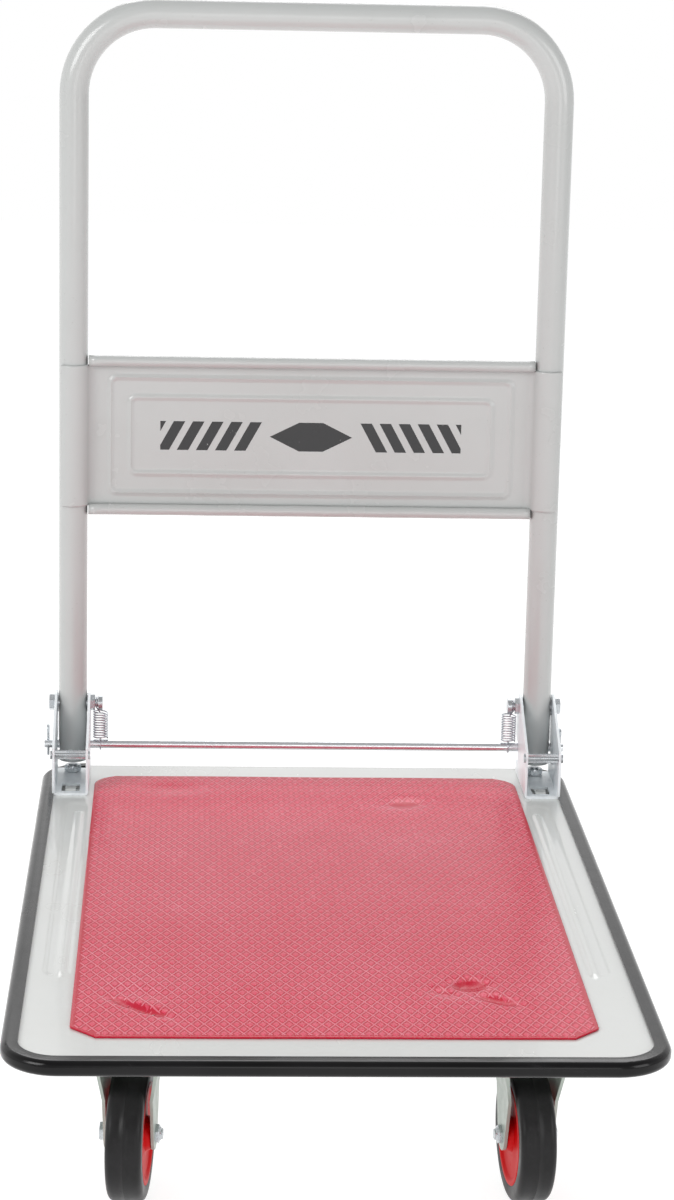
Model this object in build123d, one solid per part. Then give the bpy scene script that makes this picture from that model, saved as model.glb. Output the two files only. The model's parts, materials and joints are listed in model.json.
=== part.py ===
from build123d import *
from math import cos, radians
import os

# Folding platform cart.
# Millimetres, +Z up. The origin is on the floor, under the middle of the deck.
# +Y runs from the open end of the deck to the handle end, and +X to the right.

# ---- overall sizes --------------------------------------------------------
OVERALL_WIDTH = 476.0        # across the edge bumper
OVERALL_LENGTH = 730.0       # along the edge bumper
CORNER_RADIUS = 42.0         # outer corners of the edge bumper
HANDLE_HEIGHT = 682.5        # top bar centre above the deck top

# ---- running gear ---------------------------------------------------------
WHEEL_DIAMETER = 101.6
TREAD_WIDTH = 27.0
TREAD_SHOULDER = 5.0
TREAD_DEPTH = 12.2           # rubber outside the rim of the hub
RIM_BAND = 4.5               # radial width of the raised rim of the hub
HUB_DISH = 2.2               # depth of the dished face behind the rim
HUB_BOSS_RADIUS = 12.0
WHEEL_HEADROOM = 25.4        # from the top of the wheel to the top of the caster's plate
CASTER_SHEET = 2.5
CASTER_PLATE = (92.0, 64.0)
CASTER_PLATE_CORNER = 6.0
CASTER_HOLES = (75.0, 45.0)
CASTER_BOLT_RADIUS = 4.0
CASTER_BOLT_HEAD = (8.0, 3.0)
DRILL_REACH = 10.0           # how far a bolt hole is cut on either side of the sheets
FRONT_CASTER_INSET = (91.0, 129.0)   # top plate centre from the side and from the end of the cart
REAR_CASTER_INSET = (108.0, 129.0)
FRONT_TOE = 6.0              # degrees, the far side of each front wheel turned inwards
SWIVEL_TRAIL = 34.0          # axle behind the kingpin
FORK_GAP = 32.6              # between the legs at the axle
FORK_FLARE = 4.0             # how far each leg leans out towards the top
FORK_FLARE_RISE = 26.0       # height over which they lean
RIGID_SHOULDER = 14.5        # from the top of the fork down to the end of the lean
SWIVEL_SHOULDER = 7.8
FORK_END_RADIUS = 12.0
FORK_TOP_HALF_DEPTH = 31.0
CROWN_HALF_DEPTH = 25.0
RACE_RADIUS = 23.0
RACE_HEIGHT = 6.4
RACE_BORE = 11.5
RACE_GROOVE = 1.6            # radius of the waist
KINGPIN_RADIUS = 5.0
KINGPIN_HEAD = (9.0, 3.0)
AXLE_RADIUS = 4.0
AXLE_HEAD = 4.0
AXLE_NUT = 4.6
SLEEVE_RADIUS = 6.0

# ---- deck -----------------------------------------------------------------
DECK_SHEET = 1.5
DECK_SKIRT = 8.0
CHANNEL_DEPTH = 27.5
CHANNEL_SHEET = 2.0
CHANNEL_WIDTH = 82.0
CHANNEL_FLANGE = 15.0
CHANNEL_END_GAP = 18.0       # from the end of a channel to the inside of the skirt
BEAD_WIDTH = 11.0
BEAD_HEIGHT = 1.6
BEAD_INSET = 34.0            # bead centre from the side of the cart
BEAD_END_INSETS = (175.5, 139.5)     # its ends from the front and the rear of the cart
BUMPER_WALL = 3.5
BUMPER_LIP = 2.0
BUMPER_COVER = 12.5          # bumper over the top of the deck, from its outside
BUMPER_TUCK = 9.0            # bumper under the skirt, from its outside
BUMPER_ROUNDING = 5.0
BUMPER_REAR_INSET = 2.0      # how far the rear ends of the bumper hide behind the brackets
MAT_THICKNESS = 2.0
MAT_SIDE_BORDER = 48.0
MAT_FRONT_BORDER = 49.4
MAT_REAR_BORDER = 41.8
MAT_CHAMFER = 19.0
MAT_REAR_RADIUS = 26.0

# ---- handle ---------------------------------------------------------------
TUBE_DIAMETER = 25.4
TUBE_WALL = 1.3
POST_SIDE_INSET = 27.1       # post centre from the side of the cart
POST_REAR_INSET = 30.0       # post centre from the rear end of the cart
BEND_RADIUS = 70.0
TUBE_END_LAND = 3.5          # tube left below the slot for the release bar
PANEL_SHEET = 1.2
PANEL_HEIGHTS = (242.0, 385.5)   # above the deck top, over the rolled edges
PANEL_ROLL_RADIUS = 4.9
PANEL_ROLL_GAP = 0.8         # between the ends of the rolled edges and the posts
SLEEVE_HEIGHTS = (249.0, 375.5)
SLEEVE_WRAP = 140.0          # degrees of tube that the panel's ends cover
PANEL_BEAD_INSETS = (17.0, 34.5)
PANEL_BEAD_WIDTH = 6.0
PANEL_BEAD_HEIGHT = 2.0
PANEL_BEAD_CORNER = 8.0

# ---- handle brackets ------------------------------------------------------
PIVOT_HEIGHT = 67.0          # above the deck top
PIVOT_RADIUS = 4.0
BRACKET_SHEET = 2.2
BRACKET_FOLD = 3.0           # outer radius of its folds
BRACKET_PLAY = 1.1           # between the tube and each cheek
BRACKET_FRONT = 69.0         # base in front of the pivot
BRACKET_REAR = 10.0          # base behind the pivot
CHEEK_TOP_RADIUS = 11.0
CHEEK_FRONT_HEIGHT = 43.0
CHEEK_LOBE = (17.0, 56.0)    # rear corner of the cheek: behind the pivot, above the deck
CHEEK_SLOT_GAP = 5.0         # between the pressed release bar and the low wall below it
WINDOW_SIZE = (16.0, 22.0)
WINDOW_SETBACK = 18.0        # window centre behind the front of the base
TAB_SIZE = (9.6, 13.0, 2.0)   # raised pad of the tab, on a strip left across the window
SPREADER_SIZE = (3.0, 8.0)
SPREADER_HEIGHT = 37.0
SPREADER_SETBACK = 1.5
RIVET_RADIUS = 2.5
RIVET_HEAD = (4.2, 1.5)
BRACKET_BOLT_RADIUS = 4.0
BRACKET_BOLT_HEAD = (9.0, 3.0)
BOLT_END = 0.9               # how far a bolt stands out of its nut

# ---- release bar and springs ----------------------------------------------
ROD_RADIUS = 4.0
ROD_HEIGHT = 28.0            # release bar centre above the deck top
ROD_TRAVEL = 6.0
ROD_OVERHANG = 9.6           # bar beyond the outer cheek
WASHER_SIZE = (9.0, 1.2)
SPLIT_PIN_RADIUS = 1.2
SPLIT_PIN_LENGTH = 21.0
SPLIT_PIN_EYE = 3.2
SPLIT_PIN_SETBACK = 3.2      # split pin centre from the end of the bar
SPRING_RADIUS = 6.9
SPRING_WIRE = 0.65
SPRING_GAP = 2.1             # between the spring and the inner cheek
SPRING_END_GAP = 0.4         # between the coil and the bar below it
THIN_NUT = 4.0
GROOVE_WIDTH = 2.8
COLLAR_WIDTH = 4.0
COLLAR_RADIUS = 7.0

# ---- hexagons and fits ----------------------------------------------------
HEX_HALF_FLATS = 6.5
HEX_HEAD = 5.3
HEX_NUT = 6.3
PIN_FIT = 0.06               # radial, a pin that turns in its hole
BOLT_FIT = 0.25              # radial, a bolt in a drilled hole
THREAD_FIT = 0.02            # radial, a nut on its bolt
SLOT_FIT = 0.5               # round the release bar in its slots
FACE_FIT = 0.3               # between faces that turn on one another
GUARD = 0.5                  # round a bracket where the bumper is notched

# ---- worked out -----------------------------------------------------------
AXLE_HEIGHT = WHEEL_DIAMETER / 2
RIM_RADIUS = AXLE_HEIGHT - TREAD_DEPTH
CASTER_HEIGHT = WHEEL_DIAMETER + WHEEL_HEADROOM
DECK_TOP = CASTER_HEIGHT + CHANNEL_DEPTH + DECK_SHEET
DECK_WIDTH = OVERALL_WIDTH - 2 * BUMPER_WALL
DECK_LENGTH = OVERALL_LENGTH - 2 * BUMPER_WALL
DECK_CORNER = CORNER_RADIUS - BUMPER_WALL
TUBE_RADIUS = TUBE_DIAMETER / 2
POST_OFFSET = OVERALL_WIDTH / 2 - POST_SIDE_INSET
POST_Y = OVERALL_LENGTH / 2 - POST_REAR_INSET
PIVOT_Z = DECK_TOP + PIVOT_HEIGHT
ROD_Z = DECK_TOP + ROD_HEIGHT
ROD_DROP = PIVOT_HEIGHT - ROD_HEIGHT
TUBE_END_Z = ROD_Z - ROD_TRAVEL - ROD_RADIUS - SLOT_FIT - TUBE_END_LAND
CHEEK_LOW_WALL = ROD_HEIGHT - ROD_TRAVEL - ROD_RADIUS - CHEEK_SLOT_GAP
CHEEK_INSIDE = TUBE_RADIUS + BRACKET_PLAY
CHEEK_OUTSIDE = CHEEK_INSIDE + BRACKET_SHEET
ROD_END = POST_OFFSET + CHEEK_OUTSIDE + ROD_OVERHANG
SPRING_X = POST_OFFSET - CHEEK_OUTSIDE - SPRING_GAP - SPRING_RADIUS
GROOVE_X = POST_OFFSET - CHEEK_OUTSIDE - THIN_NUT - GROOVE_WIDTH / 2
HUB_HALF_WIDTH = FORK_GAP / 2 - FACE_FIT
HEX_CORNER = HEX_HALF_FLATS / cos(radians(30))
SIDES = {"left": -1, "right": 1}


def rod_along_x(radius, start, end, y, z):
    """A round bar parallel to X between two X positions."""
    bar = Cylinder(radius, abs(end - start))
    return Pos((start + end) / 2, y, z) * Rot(0, 90, 0) * bar


def hexagon_along_x(start, end, y, z):
    """A hexagonal prism parallel to X between two X positions."""
    outline = RegularPolygon(HEX_HALF_FLATS, 6, major_radius=False)
    prism = extrude(outline, abs(end - start))
    return Pos(min(start, end), y, z) * Rot(0, 90, 0) * prism


def upright(radius, x, y, low, high):
    """A round bar parallel to Z between two heights."""
    return Pos(x, y, (low + high) / 2) * Cylinder(radius, high - low)


def upright_hexagon(x, y, low, high):
    outline = RegularPolygon(HEX_HALF_FLATS, 6, major_radius=False)
    return Pos(x, y, low) * extrude(outline, high - low)


def block(x_range, y_range, z_range):
    """A box from its limits on each axis."""
    spans = (x_range, y_range, z_range)
    sizes = [high - low for low, high in spans]
    middle = [(high + low) / 2 for low, high in spans]
    return Pos(*middle) * Box(*sizes)


def rounded_slab(width, length, radius, low, high):
    """A slab with rounded corners, centred on the deck, between two heights."""
    return Pos(0, 0, low) * extrude(RectangleRounded(width, length, radius), high - low)


def side_sketch(outline, half_width):
    """Extrude an outline drawn as (distance along +Y, height) to both sides of X = 0."""
    return extrude(Plane.YZ * outline, half_width, both=True)


# ---- deck, mat and bumper -------------------------------------------------
def bracket_bolt_hole(side, radius):
    return upright(radius, side * POST_OFFSET, POST_Y, DECK_TOP - DECK_SKIRT, DECK_TOP + DECK_SKIRT)


def window_y():
    return POST_Y - BRACKET_FRONT + WINDOW_SETBACK


def deck_plate():
    """Pressed steel tray: a top sheet with a turned-down skirt and a raised bead along each side."""
    skirt_low = DECK_TOP - DECK_SKIRT
    inner_top = DECK_TOP - DECK_SHEET
    plate = rounded_slab(DECK_WIDTH, DECK_LENGTH, DECK_CORNER, skirt_low, DECK_TOP)
    plate -= rounded_slab(
        DECK_WIDTH - 2 * DECK_SHEET, DECK_LENGTH - 2 * DECK_SHEET, DECK_CORNER - DECK_SHEET,
        skirt_low, inner_top)
    bead_front, bead_rear = BEAD_END_INSETS
    bead_length = OVERALL_LENGTH - bead_front - bead_rear
    bead_middle = (bead_front - bead_rear) / 2
    for side in SIDES.values():
        bead = extrude(SlotOverall(bead_length, BEAD_WIDTH, 90), BEAD_HEIGHT + DECK_SHEET)
        plate += Pos(side * (OVERALL_WIDTH / 2 - BEAD_INSET), bead_middle, inner_top) * bead
        plate -= bracket_bolt_hole(side, BRACKET_BOLT_RADIUS + BOLT_FIT)
        plate = with_lock_tab(plate, side)
    return plate


def with_lock_tab(plate, side):
    """Two slots through the sheet leave a strip between them, and a pad stands up from the strip."""
    window_width, window_length = WINDOW_SIZE
    tab_width, tab_length, tab_height = TAB_SIZE
    middle = Pos(side * POST_OFFSET, window_y(), DECK_TOP - DECK_SHEET / 2)
    plate -= middle * Box(window_width, window_length - 2 * BOLT_FIT, DECK_SHEET)
    plate += middle * Box(tab_width, window_length, DECK_SHEET)
    return plate + middle * Pos(0, 0, tab_height / 2) * Box(tab_width, tab_length, DECK_SHEET + tab_height)


def deck_mat():
    """Thin vinyl mat with cut front corners and rounded rear corners."""
    width = OVERALL_WIDTH - 2 * MAT_SIDE_BORDER
    outline = Rectangle(width, OVERALL_LENGTH - MAT_FRONT_BORDER - MAT_REAR_BORDER)
    outline = chamfer(outline.vertices().sort_by(Axis.Y)[:2], MAT_CHAMFER)
    outline = fillet(outline.vertices().sort_by(Axis.Y)[-2:], MAT_REAR_RADIUS)
    middle = (MAT_FRONT_BORDER - MAT_REAR_BORDER) / 2
    return Pos(0, middle, DECK_TOP) * extrude(outline, MAT_THICKNESS)


def edge_bumper():
    """Rubber edging with a C section that grips the skirt, open across the rear of the deck."""
    low = DECK_TOP - DECK_SKIRT - BUMPER_LIP
    high = DECK_TOP + BUMPER_LIP
    bumper = rounded_slab(OVERALL_WIDTH, OVERALL_LENGTH, CORNER_RADIUS, low, high)
    rims = bumper.faces().sort_by(Axis.Z)
    bumper = fillet(rims[0].edges() + rims[-1].edges(), BUMPER_ROUNDING)
    bumper -= rounded_slab(DECK_WIDTH, DECK_LENGTH, DECK_CORNER, DECK_TOP - DECK_SKIRT, DECK_TOP)
    bumper -= rounded_slab(
        OVERALL_WIDTH - 2 * BUMPER_COVER, OVERALL_LENGTH - 2 * BUMPER_COVER, CORNER_RADIUS - BUMPER_COVER,
        DECK_TOP, high)
    bumper -= rounded_slab(
        OVERALL_WIDTH - 2 * BUMPER_TUCK, OVERALL_LENGTH - 2 * BUMPER_TUCK, CORNER_RADIUS - BUMPER_TUCK,
        low, DECK_TOP)
    open_half = POST_OFFSET - CHEEK_OUTSIDE + BUMPER_REAR_INSET
    bumper -= block((-open_half, open_half), (POST_Y, OVERALL_LENGTH), (low, high))
    for side in SIDES.values():
        notch = block((-CHEEK_OUTSIDE - GUARD, CHEEK_OUTSIDE + GUARD),
                      (POST_Y - BRACKET_FRONT - GUARD, POST_Y + BRACKET_REAR + GUARD),
                      (DECK_TOP, high))
        bumper -= Pos(side * POST_OFFSET, 0, 0) * notch
    return bumper


def cross_channel(y, caster, turn):
    """Hat section welded across the underside of the deck, drilled for two casters."""
    half = CHANNEL_WIDTH / 2
    bottom = CASTER_HEIGHT
    top = DECK_TOP - DECK_SHEET
    reach = DECK_WIDTH / 2 - DECK_SHEET - CHANNEL_END_GAP
    channel = block((-reach, reach), (-half, half), (bottom, top))
    channel -= block((-reach, reach), (-half + CHANNEL_SHEET, half - CHANNEL_SHEET),
                     (bottom + CHANNEL_SHEET, top))
    for side in (-1, 1):
        flange = sorted((side * (half - CHANNEL_SHEET), side * (half + CHANNEL_FLANGE)))
        channel += block((-reach, reach), flange, (top - CHANNEL_SHEET, top))
    channel = Pos(0, y, 0) * channel
    for side in SIDES.values():
        for hole in caster_hole_pins(CASTER_BOLT_RADIUS + BOLT_FIT):
            channel -= place_caster(hole, caster, side, turn)
    return channel


# ---- casters --------------------------------------------------------------
def place_caster(shape, caster, side, turn):
    """Put a caster piece, drawn about the middle of its top plate, under one corner of the deck.

    A negative Y distance is the open end. The turn is mirrored from side to side."""
    x, y = caster
    return Pos(side * x, y, 0) * Rot(0, 0, side * turn) * shape


def caster_hole_pins(radius):
    across, along = CASTER_HOLES
    places = [(x, y) for x in (-across / 2, across / 2) for y in (-along / 2, along / 2)]
    low = CASTER_HEIGHT - DRILL_REACH
    high = CASTER_HEIGHT + DRILL_REACH
    return [upright(radius, x, y, low, high) for x, y in places]


def caster_plate():
    """Rectangular top plate with four bolt holes."""
    across, along = CASTER_PLATE
    plate = extrude(RectangleRounded(across, along, CASTER_PLATE_CORNER), CASTER_SHEET)
    plate = Pos(0, 0, CASTER_HEIGHT - CASTER_SHEET) * plate
    for hole in caster_hole_pins(CASTER_BOLT_RADIUS + BOLT_FIT):
        plate -= hole
    return plate


def fork_band(top, shoulder_drop):
    """The bent strip of a fork seen from the front: two legs that lean out, joined across the top."""
    low = AXLE_HEIGHT - 2 * FORK_END_RADIUS
    shoulder = top - shoulder_drop
    knee = shoulder - FORK_FLARE_RISE
    inner = FORK_GAP / 2
    outer = inner + CASTER_SHEET

    def outline(half, high):
        right = [(half, low), (half, knee), (half + FORK_FLARE, shoulder), (half + FORK_FLARE, high)]
        left = [(-x, z) for x, z in reversed(right)]
        return make_face(Polyline(*right, *left, close=True))

    band = outline(outer, top) - outline(inner, top - CASTER_SHEET)
    return extrude(Plane.XZ * band, OVERALL_WIDTH, both=True)


def fork_legs(top, shoulder_drop, half_depth, axle_y):
    """Both legs of a fork, tapered from its top down to a round end at the axle."""
    taper = make_hull(
        (Pos(axle_y, AXLE_HEIGHT) * Circle(FORK_END_RADIUS)).edges()
        + (Pos(0, top - CASTER_SHEET) * Rectangle(2 * half_depth, 2 * CASTER_SHEET)).edges())
    legs = fork_band(top, shoulder_drop) & side_sketch(taper, CASTER_PLATE[0])
    bore = AXLE_RADIUS + THREAD_FIT
    return legs - rod_along_x(bore, -FORK_GAP, FORK_GAP, axle_y, AXLE_HEIGHT)


def rigid_fork():
    legs = fork_legs(CASTER_HEIGHT - CASTER_SHEET, RIGID_SHOULDER, FORK_TOP_HALF_DEPTH, 0)
    return legs + caster_plate()


def crown_top():
    return CASTER_HEIGHT - CASTER_SHEET - RACE_HEIGHT - FACE_FIT


def swivel_fork():
    """Fork that turns on the kingpin, with its axle behind the swivel centre."""
    fork = fork_legs(crown_top(), SWIVEL_SHOULDER, CROWN_HALF_DEPTH, SWIVEL_TRAIL)
    return fork - upright(KINGPIN_RADIUS + PIN_FIT, 0, 0, AXLE_HEIGHT, CASTER_HEIGHT)


def swivel_plate():
    return caster_plate() - upright(KINGPIN_RADIUS + THREAD_FIT, 0, 0, AXLE_HEIGHT, CASTER_HEIGHT)


def swivel_race():
    """Ball race under the top plate: a ring with a waist where the balls run."""
    high = CASTER_HEIGHT - CASTER_SHEET
    middle = high - RACE_HEIGHT / 2
    ring = upright(RACE_RADIUS, 0, 0, high - RACE_HEIGHT, high)
    ring -= upright(RACE_BORE, 0, 0, high - RACE_HEIGHT, high)
    return ring - Pos(0, 0, middle) * Torus(RACE_RADIUS + RACE_GROOVE / 2, RACE_GROOVE)


def kingpin():
    """Rivet through the top plate and the fork, headed below the fork."""
    head_radius, head_height = KINGPIN_HEAD
    head_top = crown_top() - CASTER_SHEET - FACE_FIT
    pin = upright(KINGPIN_RADIUS, 0, 0, head_top - head_height, CASTER_HEIGHT)
    return pin + upright(head_radius, 0, 0, head_top - head_height, head_top)


def caster_bolts():
    """Four bolts with round heads inside the channel and nuts under the top plate."""
    head_radius, head_height = CASTER_BOLT_HEAD
    seat = CASTER_HEIGHT + CHANNEL_SHEET
    under = CASTER_HEIGHT - CASTER_SHEET
    across, along = CASTER_HOLES
    pieces = []
    for x in (-across / 2, across / 2):
        for y in (-along / 2, along / 2):
            bolt = upright(CASTER_BOLT_RADIUS, x, y, under - HEX_NUT - BOLT_END, seat)
            bolt += upright(head_radius, x, y, seat, seat + head_height)
            nut = upright_hexagon(x, y, under - HEX_NUT, under)
            nut -= upright(CASTER_BOLT_RADIUS + THREAD_FIT, x, y, under - HEX_NUT, under)
            pieces += [bolt, nut]
    return Compound(children=pieces)


def about_axle(shape, axle_y):
    """Move a piece drawn about the X axis onto the axle."""
    return Pos(0, axle_y, AXLE_HEIGHT) * shape


def wheel_tyre():
    """Rubber tread moulded on the hub, flat across the middle with round shoulders."""
    tread = AXLE_HEIGHT - RIM_RADIUS
    section = Pos(0, RIM_RADIUS + tread / 2) * Rectangle(TREAD_WIDTH, tread)
    section = fillet(section.vertices().sort_by(Axis.Y)[-2:], TREAD_SHOULDER)
    return revolve(section, Axis.X)


def wheel_hub():
    """Plastic wheel centre with a raised rim, a dished face and a boss that runs on the sleeve."""
    rim_half = TREAD_WIDTH / 2
    inner_rim = RIM_RADIUS - RIM_BAND
    section = Pos(0, RIM_RADIUS / 2) * Rectangle(2 * (rim_half - HUB_DISH), RIM_RADIUS)
    section += Pos(0, inner_rim + RIM_BAND / 2) * Rectangle(2 * rim_half, RIM_BAND)
    section += Pos(0, HUB_BOSS_RADIUS / 2) * Rectangle(2 * HUB_HALF_WIDTH, HUB_BOSS_RADIUS)
    bore = SLEEVE_RADIUS + PIN_FIT
    section -= Pos(0, bore / 2) * Rectangle(FORK_GAP, bore)
    return revolve(section, Axis.X)


def axle_sleeve():
    """Steel tube clamped between the fork legs, on which the wheel turns."""
    half = FORK_GAP / 2
    tube = rod_along_x(SLEEVE_RADIUS, -half, half, 0, 0)
    return tube - rod_along_x(AXLE_RADIUS + THREAD_FIT, -half, half, 0, 0)


def axle_bolt(side):
    """Bolt through the fork and the sleeve, with its head on the outside of the cart."""
    seat = side * (FORK_GAP / 2 + CASTER_SHEET)
    bolt = rod_along_x(AXLE_RADIUS, seat, -seat - side * (AXLE_NUT + BOLT_END), 0, 0)
    return bolt + hexagon_along_x(seat, seat + side * AXLE_HEAD, 0, 0)


def axle_nut(side):
    seat = -side * (FORK_GAP / 2 + CASTER_SHEET)
    far = seat - side * AXLE_NUT
    nut = hexagon_along_x(seat, far, 0, 0)
    return nut - rod_along_x(AXLE_RADIUS + THREAD_FIT, seat, far, 0, 0)


# ---- handle brackets ------------------------------------------------------
def cheek_outline():
    """Side of a bracket about the pivot, with a slot for the release bar open to the rear."""
    deck = -PIVOT_HEIGHT
    lobe_back, lobe_height = CHEEK_LOBE
    foot = Pos((BRACKET_REAR - BRACKET_FRONT) / 2, deck + CHEEK_LOW_WALL / 2)
    foot *= Rectangle(BRACKET_FRONT + BRACKET_REAR, CHEEK_LOW_WALL)
    front = Pos(BRACKET_SHEET / 2 - BRACKET_FRONT, deck + CHEEK_FRONT_HEIGHT / 2)
    front *= Rectangle(BRACKET_SHEET, CHEEK_FRONT_HEIGHT)
    lobe = Pos(lobe_back / 2, deck + lobe_height / 2) * Rectangle(lobe_back, lobe_height)
    cheek = make_hull(foot.edges() + front.edges() + lobe.edges() + Circle(CHEEK_TOP_RADIUS).edges())
    slot_front = ROD_RADIUS + SLOT_FIT
    slot_low = deck + CHEEK_LOW_WALL
    slot = Pos(lobe_back - slot_front, slot_low / 2) * Rectangle(2 * lobe_back, -slot_low)
    slot -= Circle(ROD_DROP - ROD_RADIUS - SLOT_FIT)
    back = Pos(BRACKET_REAR + lobe_back, deck + CHEEK_LOW_WALL / 2)
    back *= Rectangle(2 * lobe_back, CHEEK_LOW_WALL)
    return cheek - slot - back


def folded_strip():
    """A channel open at the top, with round folds, as long as the bracket's side."""
    height = PIVOT_HEIGHT + CHEEK_TOP_RADIUS

    def outline(half_width, radius):
        shape = Pos(0, height / 2) * Rectangle(2 * half_width, height)
        return fillet(shape.vertices().sort_by(Axis.Y)[:2], radius)

    band = outline(CHEEK_OUTSIDE, BRACKET_FOLD)
    band -= Pos(0, BRACKET_SHEET) * outline(CHEEK_INSIDE, BRACKET_FOLD - BRACKET_SHEET)
    return Pos(0, POST_Y, DECK_TOP) * extrude(Plane.XZ * band, BRACKET_FRONT, both=True)


def handle_bracket():
    """Folded channel: a base plate on the deck and two cheeks that carry the pivot."""
    bracket = folded_strip() & (Pos(0, POST_Y, PIVOT_Z) * side_sketch(cheek_outline(), CHEEK_OUTSIDE))
    bracket -= rod_along_x(PIVOT_RADIUS + THREAD_FIT, -CHEEK_OUTSIDE, CHEEK_OUTSIDE, POST_Y, PIVOT_Z)
    rivet_z = DECK_TOP + SPREADER_HEIGHT
    bracket -= rod_along_x(RIVET_RADIUS, -CHEEK_OUTSIDE, CHEEK_OUTSIDE, spreader_y(), rivet_z)
    bracket -= upright(BRACKET_BOLT_RADIUS + BOLT_FIT, 0, POST_Y, DECK_TOP, DECK_TOP + BRACKET_SHEET)
    window = Box(WINDOW_SIZE[0], WINDOW_SIZE[1], 2 * BRACKET_SHEET)
    return bracket - Pos(0, window_y(), DECK_TOP + BRACKET_SHEET / 2) * window


def spreader_y():
    return POST_Y - BRACKET_FRONT + SPREADER_SETBACK + SPREADER_SIZE[0] / 2


def spreader_bar():
    """Flat bar across the front of a bracket, riveted through both cheeks."""
    thickness, depth = SPREADER_SIZE
    y = spreader_y()
    z = DECK_TOP + SPREADER_HEIGHT
    head_radius, head_height = RIVET_HEAD
    bar = block((-CHEEK_INSIDE, CHEEK_INSIDE),
                (y - thickness / 2, y + thickness / 2),
                (z - depth / 2, z + depth / 2))
    bar += rod_along_x(RIVET_RADIUS, -CHEEK_OUTSIDE, CHEEK_OUTSIDE, y, z)
    for side in (-1, 1):
        bar += rod_along_x(head_radius, side * CHEEK_OUTSIDE, side * (CHEEK_OUTSIDE + head_height), y, z)
    return bar


def pivot_bolt(side):
    """Hinge bolt: its head outside, and a bare groove for the spring's loop at its inner end."""
    head_seat = side * (POST_OFFSET + CHEEK_OUTSIDE)
    end = side * (GROOVE_X - GROOVE_WIDTH / 2 - COLLAR_WIDTH)
    bolt = rod_along_x(PIVOT_RADIUS, head_seat, end, POST_Y, PIVOT_Z)
    return bolt + hexagon_along_x(head_seat, head_seat + side * HEX_HEAD, POST_Y, PIVOT_Z)


def pivot_nut(side):
    """Thin nut against the inner cheek and, beyond the groove, the collar that holds the spring on."""
    cheek = side * (POST_OFFSET - CHEEK_OUTSIDE)
    groove_start = cheek - side * THIN_NUT
    groove_end = groove_start - side * GROOVE_WIDTH
    collar_end = groove_end - side * COLLAR_WIDTH
    nut = hexagon_along_x(cheek, groove_start, POST_Y, PIVOT_Z)
    collar = rod_along_x(COLLAR_RADIUS, groove_end, collar_end, POST_Y, PIVOT_Z)
    bore = rod_along_x(PIVOT_RADIUS + THREAD_FIT, cheek, collar_end, POST_Y, PIVOT_Z)
    return Compound(children=[nut - bore, collar - bore])


def bracket_bolt(side):
    """Bolt up through the deck and the bracket's base, with its round head under the deck."""
    x = side * POST_OFFSET
    head_radius, head_height = BRACKET_BOLT_HEAD
    seat = DECK_TOP - DECK_SHEET
    top = DECK_TOP + BRACKET_SHEET + HEX_NUT + BOLT_END
    bolt = upright(BRACKET_BOLT_RADIUS, x, POST_Y, seat, top)
    return bolt + upright(head_radius, x, POST_Y, seat - head_height, seat)


def bracket_nut(side):
    x = side * POST_OFFSET
    low = DECK_TOP + BRACKET_SHEET
    nut = upright_hexagon(x, POST_Y, low, low + HEX_NUT)
    return nut - upright(BRACKET_BOLT_RADIUS + THREAD_FIT, x, POST_Y, low, low + HEX_NUT)


# ---- handle ---------------------------------------------------------------
def handle_path():
    """Centre line of the handle: up one post, round two bends and down the other."""
    low = TUBE_END_Z
    high = DECK_TOP + HANDLE_HEIGHT
    corners = [(-POST_OFFSET, POST_Y, low), (-POST_OFFSET, POST_Y, high),
               (POST_OFFSET, POST_Y, high), (POST_OFFSET, POST_Y, low)]
    return FilletPolyline(*corners, radius=BEND_RADIUS)


def slot_along_x(radius, top, bottom):
    """Upright slot through both posts, between two centre heights."""
    reach = POST_OFFSET + TUBE_DIAMETER
    slot = rod_along_x(radius, -reach, reach, POST_Y, top)
    slot += rod_along_x(radius, -reach, reach, POST_Y, bottom)
    return slot + block((-reach, reach), (POST_Y - radius, POST_Y + radius), (bottom, top))


def handle_tube():
    """Bent round tube with a pivot hole and a slot for the release bar through each post."""
    path = handle_path()
    ring = Circle(TUBE_RADIUS) - Circle(TUBE_RADIUS - TUBE_WALL)
    tube = sweep(Plane(origin=path @ 0, z_dir=path % 0) * ring, path)
    reach = POST_OFFSET + TUBE_DIAMETER
    tube -= rod_along_x(PIVOT_RADIUS + PIN_FIT, -reach, reach, POST_Y, PIVOT_Z)
    return tube - slot_along_x(ROD_RADIUS + SLOT_FIT, ROD_Z, ROD_Z - ROD_TRAVEL)


def panel_bead(inset):
    """Raised rectangular line pressed into the panel, a set distance inside its edges."""
    low, high = PANEL_HEIGHTS
    half_width = POST_OFFSET - TUBE_RADIUS - inset
    width = 2 * half_width
    height = high - low - 2 * inset
    inner_corner = PANEL_BEAD_CORNER - PANEL_BEAD_WIDTH / 2
    frame = RectangleRounded(width, height, PANEL_BEAD_CORNER)
    frame -= RectangleRounded(width - 2 * PANEL_BEAD_WIDTH, height - 2 * PANEL_BEAD_WIDTH, inner_corner)
    bead = extrude(Plane.XZ * frame, PANEL_BEAD_HEIGHT)
    return Pos(0, POST_Y, DECK_TOP + (low + high) / 2) * bead


def panel_roll(z):
    """Hollow rolled edge along the top or the bottom of the panel, in front of its sheet."""
    reach = POST_OFFSET - TUBE_RADIUS - PANEL_ROLL_GAP
    y = POST_Y - PANEL_ROLL_RADIUS + PANEL_SHEET / 2
    roll = rod_along_x(PANEL_ROLL_RADIUS, -reach, reach, y, z)
    return roll - rod_along_x(PANEL_ROLL_RADIUS - PANEL_SHEET, -reach, reach, y, z)


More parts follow.
